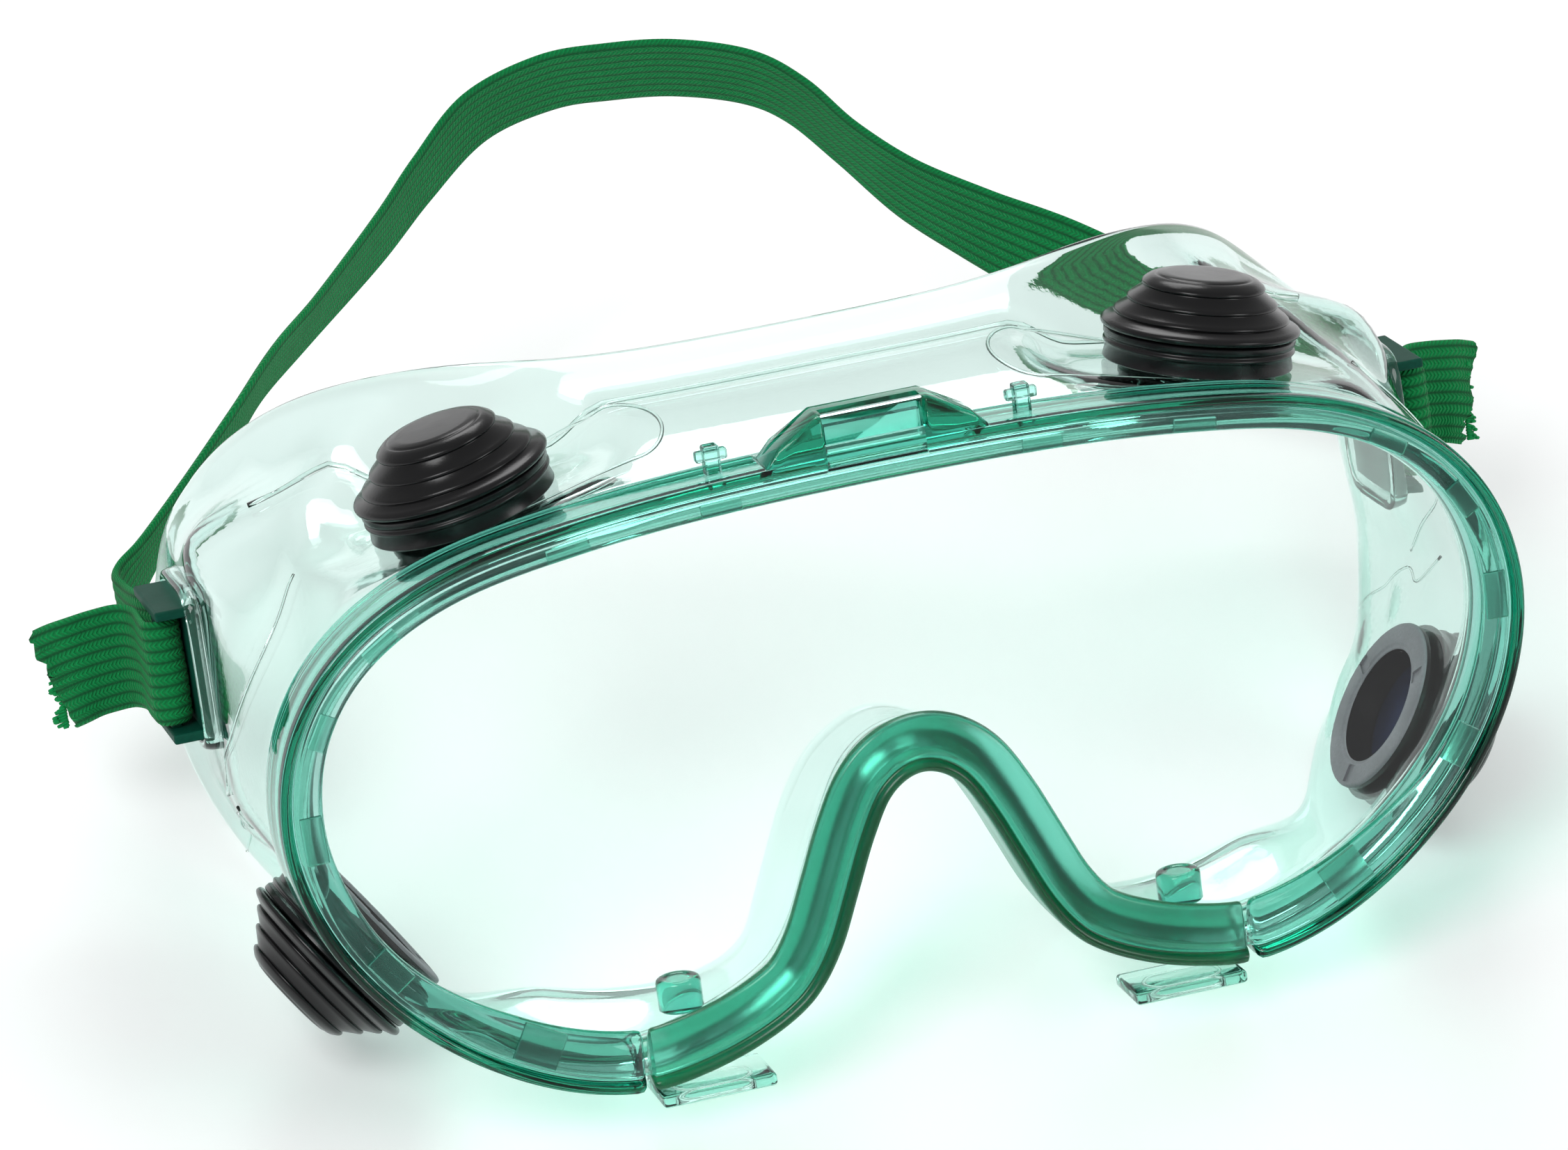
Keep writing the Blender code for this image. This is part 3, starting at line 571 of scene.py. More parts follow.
def group(name):
    makers = {"Moulded grain": grain_group, "Handling marks": smudge_group, "Edge wear": edge_group,
        "Webbing weave": weave_group}
    return bpy.data.node_groups.get(name) or makers[name]()


def place_group(tree, name, vector=None, **values):
    node = tree.nodes.new("ShaderNodeGroup")
    node.node_tree = group(name)
    if vector is not None:
        link(tree, vector, node.inputs["Vector"])
    for label, value in values.items():
        if isinstance(value, (int, float)):
            node.inputs[label].default_value = value
        else:
            link(tree, value, node.inputs[label])
    return node


# ---------------------------------------------------------------- finishes
def start_finish(name):
    mat = bpy.data.materials.new(name)
    mat.use_nodes = True
    tree = mat.node_tree
    where = tree.nodes.new("ShaderNodeTexCoord").outputs["Object"]
    return mat, tree, tree.nodes["Principled BSDF"], tree.nodes["Material Output"], where


def bump(tree, shader, height, strength, distance):
    node = tree.nodes.new("ShaderNodeBump")
    node.inputs["Strength"].default_value = strength
    node.inputs["Distance"].default_value = distance
    link(tree, height, node.inputs["Height"])
    link(tree, node.outputs["Normal"], shader.inputs["Normal"])


def clear_finish(name, tint, soak, density, low, high, shade, ior=1.45, swell=45.0, grain=0.25,
    depth=0.00004, frost=0.0):
    """A transparent moulding: tinted through its thickness, letting lamps through to what it covers."""
    mat, tree, shader, out, where = start_finish(name)
    shader.inputs["Transmission Weight"].default_value = 1.0
    shader.inputs["IOR"].default_value = ior
    mask = place_group(tree, "Moulded grain", where, Fine=1400.0, Swell=swell, Share=grain)
    pale = tuple(min(1.0, c * 1.04) for c in tint)
    link(tree, mix_colour(tree, mask.outputs["Mask"], tint, pale), shader.inputs["Base Color"])
    marks = place_group(tree, "Handling marks", where, Scale=55.0, Low=low + frost, High=high + frost)
    link(tree, marks.outputs["Roughness"], shader.inputs["Roughness"])
    bump(tree, shader, mask.outputs["Height"], 0.35, depth)
    lamp = tree.nodes.new("ShaderNodeLightPath")
    through = tree.nodes.new("ShaderNodeBsdfTransparent")
    through.inputs["Color"].default_value = (*shade, 1.0)
    mix = tree.nodes.new("ShaderNodeMixShader")
    link(tree, lamp.outputs["Is Shadow Ray"], mix.inputs["Fac"])
    link(tree, shader.outputs["BSDF"], mix.inputs[1])
    link(tree, through.outputs["BSDF"], mix.inputs[2])
    link(tree, mix.outputs[0], out.inputs["Surface"])
    if density:
        body = tree.nodes.new("ShaderNodeVolumeAbsorption")
        body.inputs["Color"].default_value = (*soak, 1.0)
        body.inputs["Density"].default_value = density
        link(tree, body.outputs[0], out.inputs["Volume"])
    return mat


def solid_finish(name, dark, pale, grain, marks, relief, worn=None, shine=None):
    """An opaque moulding: two mottled shades, handling marks, and rubbed edges and shine where given."""
    mat, tree, shader, _, where = start_finish(name)
    mask = place_group(tree, "Moulded grain", where, Fine=grain[0], Swell=grain[1], Share=grain[2])
    rubbed = place_group(tree, "Edge wear", where, Scale=worn[0], Amount=worn[1]) if worn else None
    shade = mix_colour(tree, mask.outputs["Mask"], dark, pale)
    if worn:
        shade = mix_colour(tree, rubbed.outputs["Mask"], shade, worn[2])
    link(tree, shade, shader.inputs["Base Color"])
    smudges = place_group(tree, "Handling marks", where, Scale=marks[0], Low=marks[1], High=marks[2])
    link(tree, smudges.outputs["Roughness"], shader.inputs["Roughness"])
    if shine is not None:
        shader.inputs["Specular IOR Level"].default_value = shine
    bump(tree, shader, mask.outputs["Height"], *relief)
    return mat


def webbing_finish(colour, shade, ribs, pitch):
    mat, tree, shader, _, where = start_finish("Green elastic webbing")
    along = tree.nodes.new("ShaderNodeAttribute")
    along.attribute_name = "along"
    across = tree.nodes.new("ShaderNodeAttribute")
    across.attribute_name = "across"
    weave = place_group(tree, "Webbing weave", None, Along=along.outputs["Fac"], Across=across.outputs["Fac"],
                        Ribs=float(ribs), Pitch=pitch)
    fuzz = noise(tree, where, 2600.0, 3.0)
    patch = noise(tree, where, 120.0, 3.0)
    base = mix_colour(tree, patch, tuple(c * 0.86 for c in colour), tuple(min(1, c * 1.16) for c in colour))
    # Painted shade: the colour goes towards the shade colour in the valleys between the ribs and where the
    # stitches lie low.
    dark = math_node(tree, "MULTIPLY", weave.outputs["Painted valley shade"], 0.75)
    low = math_node(tree, "MULTIPLY", math_node(tree, "SUBTRACT", 1.0, weave.outputs["Height"]), 0.45)
    shadow = math_node(tree, "ADD", dark, low, clamp=True)
    link(tree, mix_colour(tree, shadow, base, tuple(shade)), shader.inputs["Base Color"])
    rough = math_node(tree, "ADD", math_node(tree, "MULTIPLY", fuzz, 0.2), 0.68)
    link(tree, rough, shader.inputs["Roughness"])
    shader.inputs["Sheen Weight"].default_value = 0.1
    shader.inputs["Sheen Roughness"].default_value = 0.5
    shader.inputs["Sheen Tint"].default_value = (0.45, 0.9, 0.5, 1.0)
    shader.inputs["Specular IOR Level"].default_value = 0.2
    height = math_node(tree, "ADD", weave.outputs["Height"], math_node(tree, "MULTIPLY", fuzz, 0.5))
    bump(tree, shader, height, 0.9, 0.0003)
    return mat


def finish(kind):
    """The named finish, made once."""
    look = bpy.context.scene.goggles_looks
    labels = {
        "skirt": "Clear soft skirt", "lens": "Clear lens", "rim": "Green translucent rim",
        "bridge": "Frosted green bridge", "vent": "Black vent rubber", "flange": "Vent flange",
        "disc": "Vent inner disc", "clip": "Dark green clip", "webbing": "Green elastic webbing",
    }
    ready = bpy.data.materials.get(labels[kind])
    if ready:
        return ready
    label = labels[kind]
    if kind == "skirt":
        return clear_finish(label, (0.985, 1.0, 0.995), look.skirt_soak, look.skirt_density, 0.015, 0.07,
                            (0.93, 0.98, 0.96), swell=38.0)
    if kind == "lens":
        return clear_finish(label, (0.995, 1.0, 1.0), (0.93, 0.97, 1.0), 6.0, 0.0, 0.02,
                            (0.98, 0.99, 1.0), swell=12.0, depth=0.00001)
    if kind == "rim":
        return clear_finish(label, (0.97, 1.0, 0.99), look.rim_soak, look.rim_density, 0.02, 0.08,
                            (0.82, 0.93, 0.88), swell=80.0)
    if kind == "bridge":
        return clear_finish(label, (0.92, 1.0, 0.97), look.bridge_soak, look.bridge_density, 0.0, 0.1,
                            (0.72, 0.88, 0.81), swell=90.0, frost=0.22)
    if kind == "vent":
        pale = tuple(c * 1.6 for c in look.vent_colour)
        return solid_finish(label, tuple(look.vent_colour), pale, (2600.0, 220.0, 0.8), (90.0, 0.20, 0.38),
                            (0.4, 0.00003), worn=(420.0, 0.3, (0.05, 0.05, 0.053)), shine=0.32)
    if kind == "flange":
        return solid_finish(label, (0.11, 0.113, 0.125), (0.24, 0.245, 0.265), (2400.0, 200.0, 0.9),
                            (120.0, 0.5, 0.7), (0.5, 0.00004))
    # The paler blue in the disc's mottle is a painted blue sheen over the disc's own blue-black colour.
    if kind == "disc":
        return solid_finish(label, (0.008, 0.011, 0.026), (0.03, 0.05, 0.14), (2600.0, 160.0, 0.6),
                            (90.0, 0.2, 0.4), (0.3, 0.00003))
    if kind == "clip":
        pale = tuple(c * 2.2 + 0.004 for c in look.clip_colour)
        return solid_finish(label, tuple(look.clip_colour), pale, (1800.0, 140.0, 0.5), (120.0, 0.5, 0.7),
                            (0.3, 0.00003), worn=(500.0, 0.6, (0.01, 0.16, 0.10)), shine=0.12)
    sizes = bpy.context.scene.goggles_sizes
    return webbing_finish(look.webbing_colour, look.webbing_painted_shade, sizes.webbing_ribs, sizes.webbing_pitch)


# ---------------------------------------------------------------- settings
class GogglesSizes(bpy.types.PropertyGroup):
    """Sizes that a user may change, in millimetres."""
    band_top: FloatProperty(name="Rim band, top", description="Visible width of the rim at the top",
        default=4.9, min=3)
    band_side: FloatProperty(name="Rim band, sides", description="Visible width of the rim at the sides",
        default=6.4, min=3)
    band_end: FloatProperty(name="Rim band, ends",
        description="Visible width where the rim meets the bridge", default=8.8, min=3)
    bridge_band: FloatProperty(name="Bridge band", description="Visible width of the nose bridge",
        default=8.2, min=3)
    bridge_proud: FloatProperty(name="Bridge relief",
        description="How far the bridge stands before the rim", default=0.9, min=0)
    webbing_ribs: IntProperty(name="Webbing ribs", description="Lengthwise ribs across the webbing",
        default=9, min=1)
    webbing_pitch: FloatProperty(name="Webbing pitch", description="Length of one cross pick of the weave",
        default=0.62, min=0.1)
    webbing_relief: FloatProperty(name="Rib relief", description="Height of the webbing's ribs",
        default=0.15, min=0)


class GogglesLooks(bpy.types.PropertyGroup):
    """Colours that a user may change."""
    skirt_soak: FloatVectorProperty(name="Skirt tint",
        description="Colour that the skirt's thickness takes on",
                                    default=(0.08, 0.68, 0.54), subtype="COLOR", min=0, max=1)
    skirt_density: FloatProperty(name="Skirt depth",
        description="How strongly the skirt's thickness tints, per metre", default=120.0, min=0)
    rim_soak: FloatVectorProperty(name="Rim tint", description="Colour that the rim's thickness takes on",
                                  default=(0.0, 0.73, 0.62), subtype="COLOR", min=0, max=1)
    rim_density: FloatProperty(name="Rim depth",
        description="How strongly the rim's thickness tints, per metre", default=410.0, min=0)
    bridge_soak: FloatVectorProperty(name="Bridge tint",
        description="Colour that the bridge's thickness takes on",
                                     default=(0.0, 0.75, 0.62), subtype="COLOR", min=0, max=1)
    bridge_density: FloatProperty(name="Bridge depth",
        description="How strongly the bridge's thickness tints, per metre", default=700.0, min=0)
    vent_colour: FloatVectorProperty(name="Vents", description="Colour of the vent rubber",
        default=(0.0022, 0.0022, 0.0026),
                                     subtype="COLOR", min=0, max=1)
    clip_colour: FloatVectorProperty(name="Clips", description="Colour of the strap clips",
        default=(0.0, 0.035, 0.022),
                                     subtype="COLOR", min=0, max=1)
    webbing_colour: FloatVectorProperty(name="Webbing", description="Colour of the elastic webbing",
        default=(0.0, 0.30, 0.075),
                                        subtype="COLOR", min=0, max=1)
    # Painted shade laid into the valleys between the webbing's ribs and under its low stitches.
    webbing_painted_shade: FloatVectorProperty(name="Webbing shade", description="Colour between the ribs",
        default=(0.0, 0.08, 0.022),
                                       subtype="COLOR", min=0, max=1)


# ---------------------------------------------------------------- face skirt
class GOGGLES_OT_skirt(bpy.types.Operator):
    """Build the clear face skirt with its moulded lines and vent holes"""
    bl_idname = "goggles.skirt"
    bl_label = "Face skirt"

    def execute(self, context):
        lens_back = LENS_FRONT + LENS_THICK + SLEEVE
        inner = SKIN - SKIN_NORMAL * SKIRT_WALL
        rings = []
        for i in range(COUNT):
            out = np.array([NORMAL[i][0], 0.0, NORMAL[i][1]])
            seat = RIM_DEPTH - RIM_WALL - SLEEVE
            bead_rows = soften([
                at_offset(i, NECK_INSET + SKIRT_WALL, lens_back), at_offset(i, 2.1, lens_back),
                at_offset(i, 2.1, seat),
                at_offset(i, NECK_INSET, seat), at_offset(i, NECK_INSET, RIM_DEPTH + SLEEVE + 0.1),
                tuple(SKIN[i, 0] - np.array([0, 0.5, 0]) - out * 0.3),
            ], 0.3, closed=False)
            edge = SKIN[i, -1] - SKIN[i, -2]
            edge /= np.linalg.norm(edge)
            lip = (SKIN[i, -1] + inner[i, -1]) / 2 + edge * 0.7
            ring = bead_rows + list(SKIN[i]) + [lip] + list(inner[i][:0:-1])
            ring.append(at_offset(i, NECK_INSET + SKIRT_WALL, SKIN[i, 0, 1] + 1.5))
            rings.append(ring)
        work = bmesh.new()
        skin_through(work, rings, closed=True)
        skirt = piece_from(work, "skirt_shell")
        subdivide(skirt)
        work = bmesh.new()
        for _, _, centre, axis in vent_frames():
            made = bmesh.ops.create_cone(work, cap_ends=True, segments=64,
                radius1=(VENT_NECK_RADIUS + 0.25) * MM,
                                         radius2=(VENT_NECK_RADIUS + 0.25) * MM, depth=16 * MM)["verts"]
            turn = axis.to_track_quat("Z", "Y").to_matrix().to_4x4()
            bmesh.ops.transform(work, matrix=PLACE @ Matrix.Translation(centre * MM) @ turn, verts=made)
        cutter = piece_from(work, "vent_hole_cutter", merge=False)
        combine(skirt, cutter, "DIFFERENCE")
        settle(skirt, cutter)
        for face in skirt.data.polygons:
            face.use_smooth = True
        wear(skirt, finish("skirt"), FRAME_BODY, ["face_skirt"])
        self.lines(skirt)
        return {"FINISHED"}

    def lines(self, skirt):
        """Raised moulding lines that lie on the skirt's outer surface."""
        tree = BVHTree.FromObject(skirt, bpy.context.evaluated_depsgraph_get())
        back = PLACE.inverted()

        def on_skin(point, outward, lift=0.05):
            start = put(Vector(point) + Vector(outward) * 12)
            hit = tree.ray_cast(start, -way(outward), 0.03)
            spot = hit[0] if hit[0] is not None else tree.find_nearest(put(point))[0]
            return np.array(back @ spot) / MM + np.array(outward) * lift

        work = bmesh.new()
        for side in (-1, 1):
            # racetrack beside each top vent
            axis = Vector((side * math.sin(VENT_TOP_OUTWARD), 0, math.cos(VENT_TOP_OUTWARD)))
            centre = Vector((side * 40.0, 25.6, 80.0))
            slide = Vector((side * math.cos(VENT_TOP_OUTWARD), 0, -math.sin(VENT_TOP_OUTWARD)))
            path = []
            for k in range(72):
                a = 2 * math.pi * k / 72
                run = 11.0 * (1 if math.cos(a) > 0 else -1)
                path.append(on_skin(centre + slide * (run + 6.2 * math.cos(a)) + Vector((0,
                    8.6 * math.sin(a), 0)), axis))
            bead(work, path, 0.28)
            # curved line on the side wall, before the clip
            rows = [(44.0, 40), (38.0, 46), (30.0, 52), (25.0, 60), (24.5, 67), (29, 73)]
            line = spline([(side * 88.0, y, z) for y, z in rows], [6] * (len(rows) - 1))
            bead(work, [on_skin(p, (side, 0, 0)) for p in line], 0.25, closed=False)
            rows = [(60, 24), (52, 30), (44, 36), (38, 35), (33, 41)]
            line = spline([(side * 88.0, y, z) for y, z in rows], [6] * (len(rows) - 1))
            bead(work, [on_skin(p, (side * 0.9, 0, -0.43)) for p in line], 0.25, closed=False)
        # ridge where the face flange turns up, over the top
        start = COUNT - FINE * 11
        ridge = [SKIN[(start + k) % COUNT, 10] + SKIN_NORMAL[(start + k) % COUNT,
            10] * 0.08 for k in range(2 * FINE * 11 + 1)]
        bead(work, ridge, 0.42, closed=False)
        lines = piece_from(work, "skirt_moulding_lines")
        wear(lines, finish("skirt"), FRAME_BODY)


# ---------------------------------------------------------------- rim and bridge
def channel(index, width, proud, depth):
    """Cross-section of the clamping channel: a faced front lip, an outer wall with a bead and a rear lip."""
    gap = LENS_FRONT - SLEEVE
    neck = NECK_INSET - SLEEVE
    rows = [
        (width, gap), (width, gap - 1.1), (width - 0.5, gap - 1.5 - proud * 0.6), (2.6, gap - 1.5 - proud),
        (2.2, 0.9 - proud), (1.7, 0.9 - proud), (1.3, -proud), (0.4, -proud), (0.0, 0.5 - proud * 0.6),
        (0.0, depth - 0.5), (0.5, depth), (neck, depth), (neck, depth - RIM_WALL),
        (RIM_WALL, depth - RIM_WALL),
        (RIM_WALL, gap),
    ]
    return [at_offset(index, inset, y) for inset, y in rows]


def rim_spot(x, z):
    """The outline's nearest place to a point of the front face: index, inward direction, distance in."""
    gap = FRONT_LOOP - np.array([x, z])
    index = int(np.argmin((gap ** 2).sum(1)))
    return index, NORMAL[index], float(np.linalg.norm(gap[index]))


class GOGGLES_OT_rim(bpy.types.Operator):
    """Build the translucent green rim with its latch hood, posts and clamp windows"""
    bl_idname = "goggles.rim"
    bl_label = "Lens rim"

    def execute(self, context):
        sizes = context.scene.goggles_sizes
        order = [COUNT - BRIDGE_AT + k for k in range(2 * BRIDGE_AT + 1)]
        work = bmesh.new()
        skin_through(work, [soften(channel(i, band_width(i, sizes), 0.0, RIM_DEPTH), 0.24) for i in order])
        rim = piece_from(work, "rim_channel")
        subdivide(rim)
        hood = self.hood()
        combine(rim, hood, "UNION")
        slots = bmesh.new()
        block(slots, (0, LENS_FRONT + LENS_THICK / 2, 84.5), (13.8, LENS_THICK + 2 * SLEEVE, 9.0))
        cut = piece_from(slots, "lens_tab_slot", smooth=False)
        combine(rim, cut, "DIFFERENCE")
        window = bmesh.new()
        block(window, (0, -0.7, 85.6), (14.4, 6.2, 3.9))
        opening = piece_from(window, "hood_window", smooth=False)
        combine(rim, opening, "DIFFERENCE")
        settle(rim, hood, cut, opening)
        rim.data.set_sharp_from_angle(angle=math.radians(38))
        wear(rim, finish("rim"), FRAME_BODY, ["lens_rim"])
        self.posts()
        self.windows(sizes)
        return {"FINISHED"}

    def hood(self):
        """The trapezoid latch hood over the lens tab."""
        base, top, low, high = 15.6, 7.6, 81.4, 87.9
        back = RIM_DEPTH - 1.6
        rings = []
        for x, lift in ((-base, 0.0), (-base * 0.86, 0.42), (-top, 1.0), (top, 1.0), (base * 0.86, 0.42),
            (base, 0.0)):
            crest = low + 1.0 + (high - low - 1.0) * lift
            rings.append([(x, 0.4, low), (x, 0.4, crest - 0.5), (x, 1.0, crest),
                (x, 6.2, crest + 0.25 * lift),
                          (x, back, low + 1.0 + 0.2 * lift), (x, back, low)])
        work = bmesh.new()
        skin_through(work, rings)
        hood = piece_from(work, "latch_hood", smooth=False)
        round_edges(hood, 0.35, 3)
        return settle(hood)

    def posts(self):
        """Short posts with a cross bar on the top of the rim."""
        work = bmesh.new()
        for side in (-1, 1):
            block(work, (side * 21.6, 5.6, 83.6), (2.2, 2.2, 4.4), chamfer=0.3)
            block(work, (side * 21.6, 5.6, 84.4), (4.4, 1.5, 1.5), chamfer=0.3)
        posts = piece_from(work, "rim_posts", smooth=False)
        wear(posts, finish("rim"), FRAME_BODY)

    def windows(self, sizes):
        """Clamp windows: short raised pads across the band."""
        work = bmesh.new()
        spots = [(71.7, 73.3, 5.4), (45.0, 80.0, 6.0), (22.4, 82.3, 5.6), (83.6, 61.0, 5.0),
            (86.6, 44.0, 6.6),
                 (78.6, 22.2, 5.8), (60.0, 5.8, 6.2)]
        for side in (-1, 1):
            for x, z, length in spots:
                index, normal, _ = rim_spot(side * x, z)
                width = band_width(index, sizes) - 3.1
                centre = at_offset(index, 2.75 + width / 2, 0.22)
                turn = Matrix.Rotation(math.atan2(normal[0], normal[1]), 3, "Y")
                block(work, centre, (length, 0.75, width), turn=turn, chamfer=0.14)
        pads = piece_from(work, "rim_clamp_windows", smooth=False)
        wear(pads, finish("bridge"), FRAME_BODY)


class GOGGLES_OT_bridge(bpy.types.Operator):
    """Build the frosted nose bridge, its studs and the grip tabs under it"""
    bl_idname = "goggles.bridge"
    bl_label = "Nose bridge"

    def execute(self, context):
        sizes = context.scene.goggles_sizes
        order = list(range(BRIDGE_AT, COUNT - BRIDGE_AT + 1))
        rings = []
        for j, i in enumerate(order):
            ends = min(j, len(order) - 1 - j) / FINE
            width = sizes.bridge_band + (sizes.band_end - sizes.bridge_band) * (1 - smooth_step(ends / 6.0))
            ring = channel(i, width, sizes.bridge_proud * smooth_step(ends / 4.0), RIM_DEPTH)
            if j in (0, len(order) - 1):
                ring = [(x + (-0.45 if j == 0 else 0.45), y, z) for x, y, z in ring]
            rings.append(soften(ring, 0.3))
        work = bmesh.new()
        skin_through(work, rings)
        bridge = piece_from(work, "bridge_channel")
        subdivide(bridge)
        settle(bridge)
        bridge.data.set_sharp_from_angle(angle=math.radians(38))
        wear(bridge, finish("bridge"), FRAME_BODY, ["nose_bridge"])
        for side, tag in ((-1, "left"), (1, "right")):
            self.stud(side, tag)
            self.tab(side, tag)
        return {"FINISHED"}

    def stud(self, side, tag):
        home = PLACE @ Matrix.Translation(Vector((side * STUD_AT[0], STUD_AT[1], STUD_AT[2])) * MM)
        stud = turned(f"stud_{tag}", [(0, 4.6), (1.7, 4.6), (2.0, 4.75), (2.7, 4.75), (3.1, 4.35),
            (3.1, 0.3), (0, 0.3)], home, steps=48)
        wear(stud, finish("rim"), FRAME_BODY, [f"bridge_stud_{tag}"])

    def tab(self, side, tag):
        """A clear grip tab with rounded corners and a raised oval."""
        work = bmesh.new()
        block(work, (side * TAB_AT[0], TAB_AT[1], TAB_AT[2]), (16.0, 10.0, 1.8), chamfer=0.55, segments=3)
        oval = []
        for k in range(40):
            a = 2 * math.pi * k / 40
            run = 2.6 * (1 if math.cos(a) > 0 else -1)
            oval.append((side * TAB_AT[0] + run + 2.6 * math.cos(a), TAB_AT[1] + 2.6 * math.sin(a),
                TAB_AT[2] - 0.88))
        bead(work, oval, 0.3)
        tab = piece_from(work, f"grip_tab_clear_{tag}")
        tab.data.set_sharp_from_angle(angle=math.radians(50))
        wear(tab, finish("skirt"), FRAME_BODY, [f"grip_tab_{tag}"])


# ---------------------------------------------------------------- vents
CAP_TURN = [
    (0, 12.72), (5.2, 12.75), (6.3, 12.6), (6.6, 12.35), (6.9, 12.4), (7.5, 12.15), (8.25, 11.6),
    (8.5, 11.25), (8.45, 10.95),
    (8.2, 10.8), (10.1, 9.4), (10.35, 9.1), (10.3, 8.8), (10.05, 8.7), (11.8, 7.55), (12.1, 7.2),
    (12.05, 6.9),
    (11.8, 6.8), (13.2, 6.25), (13.7, 5.9), (13.75, 5.5), (13.5, 5.1), (8.1, 5.1), (8.1, 0.9), (0, 0.9),
]


class GOGGLES_OT_vents(bpy.types.Operator):
    """Build the four vents: a base through the skirt and a stepped cap that pulls off"""
    bl_idname = "goggles.vents"
    bl_label = "Vents"

    def execute(self, context):
        for side, place, centre, axis in vent_frames():
            tag = f"{place}_{'left' if side < 0 else 'right'}"
            home = PLACE @ Matrix.Translation(centre * MM) @ axis.to_track_quat("Z", "Y").to_matrix().to_4x4()
            self.cap(tag, home)
            self.base(tag, home, 10.8 if place == "top" else 12.3)
        return {"FINISHED"}

    def cap(self, tag, home):
        cap = turned(f"vent_cone_{tag}", CAP_TURN, home, reach=0.12)
        cap.data.materials.append(finish("vent"))
        cap.data.materials.append(finish("disc"))
        low = 1.0 * MM
        back = home.inverted()
        for face in cap.data.polygons:
            if (back @ face.center).z < low:
                face.material_index = 1
        cap.data.set_sharp_from_angle(angle=math.radians(50))
        wear(cap, None, f"cap_{tag}", [f"vent_cap_{tag}"])

    def base(self, tag, home, flange):
        under = -SKIRT_WALL - 0.55
        profile = [
            (8.4, 4.8), (13.2, 4.8), (13.2, 3.9), (12.9, 3.7), (12.9, 3.4), (13.2, 3.2), (13.2, 2.8),
            (12.7, 2.5),
            (13.1, 0.55), (9.6, 0.55), (9.6, under), (flange, under), (flange, under - 0.9),
            (flange - 0.35, under - 1.2),
            (9.2, under - 1.2), (9.0, under - 0.95), (8.4, under - 0.95),
        ]
        base = turned(f"vent_ring_{tag}", profile, home, reach=0.14)
        notches = bmesh.new()
        for turn in (20, 140, 260):
            a = math.radians(turn)
            cube = bmesh.ops.create_cube(notches, size=1.0)["verts"]
            bmesh.ops.scale(notches, vec=Vector((2.6, 1.9, 0.7)) * MM, verts=cube)
            spot = Matrix.Rotation(a, 4, "Z") @ Matrix.Translation(Vector(((8.4 + flange) / 2, 0,
                under - 1.2)) * MM)
            bmesh.ops.transform(notches, matrix=home @ spot, verts=cube)
        cutter = piece_from(notches, "vent_notch_cutter", smooth=False, merge=False)
        combine(base, cutter, "DIFFERENCE")
        settle(base, cutter)
        base.data.set_sharp_from_angle(angle=math.radians(40))
        base.data.materials.clear()
        base.data.materials.append(finish("vent"))
        base.data.materials.append(finish("flange"))
        back = home.inverted()
        for face in base.data.polygons:
            if (back @ face.center).z < (under - 0.5) * MM:
                face.material_index = 1
        wear(base, None, FRAME_BODY, [f"vent_base_{tag}"])


# ---------------------------------------------------------------- clips
class GOGGLES_OT_clips(bpy.types.Operator):
    """Build the strap clips and the clear pockets that hold them"""
    bl_idname = "goggles.clips"
    bl_label = "Strap clips"

    def execute(self, context):
        for side, tag in ((-1, "left"), (1, "right")):
            self.clip(side, tag)
            self.pocket(side, tag)
        return {"FINISHED"}

    def clip(self, side, tag):
        """A plate with two cheeks, and a bar between them that the webbing turns round."""
        x, y, z = CLIP_AT
        foot = x + SLEEVE
        work = bmesh.new()
        block(work, (side * (foot + CLIP_PLATE / 2), y, z), (CLIP_PLATE, CLIP_LONG, CLIP_TALL), chamfer=0.3)
        for end in (-1, 1):
            cheek = z + end * (CLIP_TALL - CLIP_CHEEK) / 2
            block(work, (side * (foot + CLIP_DEEP / 2), y, cheek), (CLIP_DEEP, CLIP_LONG, CLIP_CHEEK),
                chamfer=0.35, segments=3)
        bar = (CLIP_BAR_THICK, CLIP_BAR_LONG, CLIP_TALL - CLIP_CHEEK)
        block(work, (side * (foot + CLIP_BAR_HIGH), y + CLIP_BAR_AT, z), bar, chamfer=0.45, segments=3)
        clip = piece_from(work, f"clip_body_{tag}", smooth=False, merge=False)
        wear(clip, finish("clip"), FRAME_BODY, [f"strap_clip_{tag}"])

    def pocket(self, side, tag):
        """A clear moulded frame on the skirt, all round the clip's base."""
        x, y, z = CLIP_AT
        half_y, half_z = CLIP_LONG / 2 + 0.9, CLIP_TALL / 2 + 0.9
        path = []
        for k in range(64):
            a = 2 * math.pi * (k + 0.5) / 64
            c, s = math.cos(a), math.sin(a)
            path.append((y + math.copysign(min(1, abs(c) ** 0.35), c) * half_y,
                z + math.copysign(min(1, abs(s) ** 0.35), s) * half_z))
        rings = []
        for k, (py, pz) in enumerate(path):
            outward = np.array([0, py - y, pz - z])
            outward /= np.linalg.norm(outward)
            here = np.array([0, py, pz])
            section = [(x - 0.6, 0.0), (x + 1.9, 0.0), (x + 1.9, 1.1), (x + 0.9, 1.5), (x - 0.6, 1.6)]
            rings.append([tuple(here + outward * o + np.array([side * h, 0, 0])) for h,
                o in soften(section, 0.25)])
        work = bmesh.new()
        skin_through(work, rings, closed=True)
        pocket = piece_from(work, f"clip_pocket_{tag}")
        wear(pocket, finish("skirt"), FRAME_BODY)


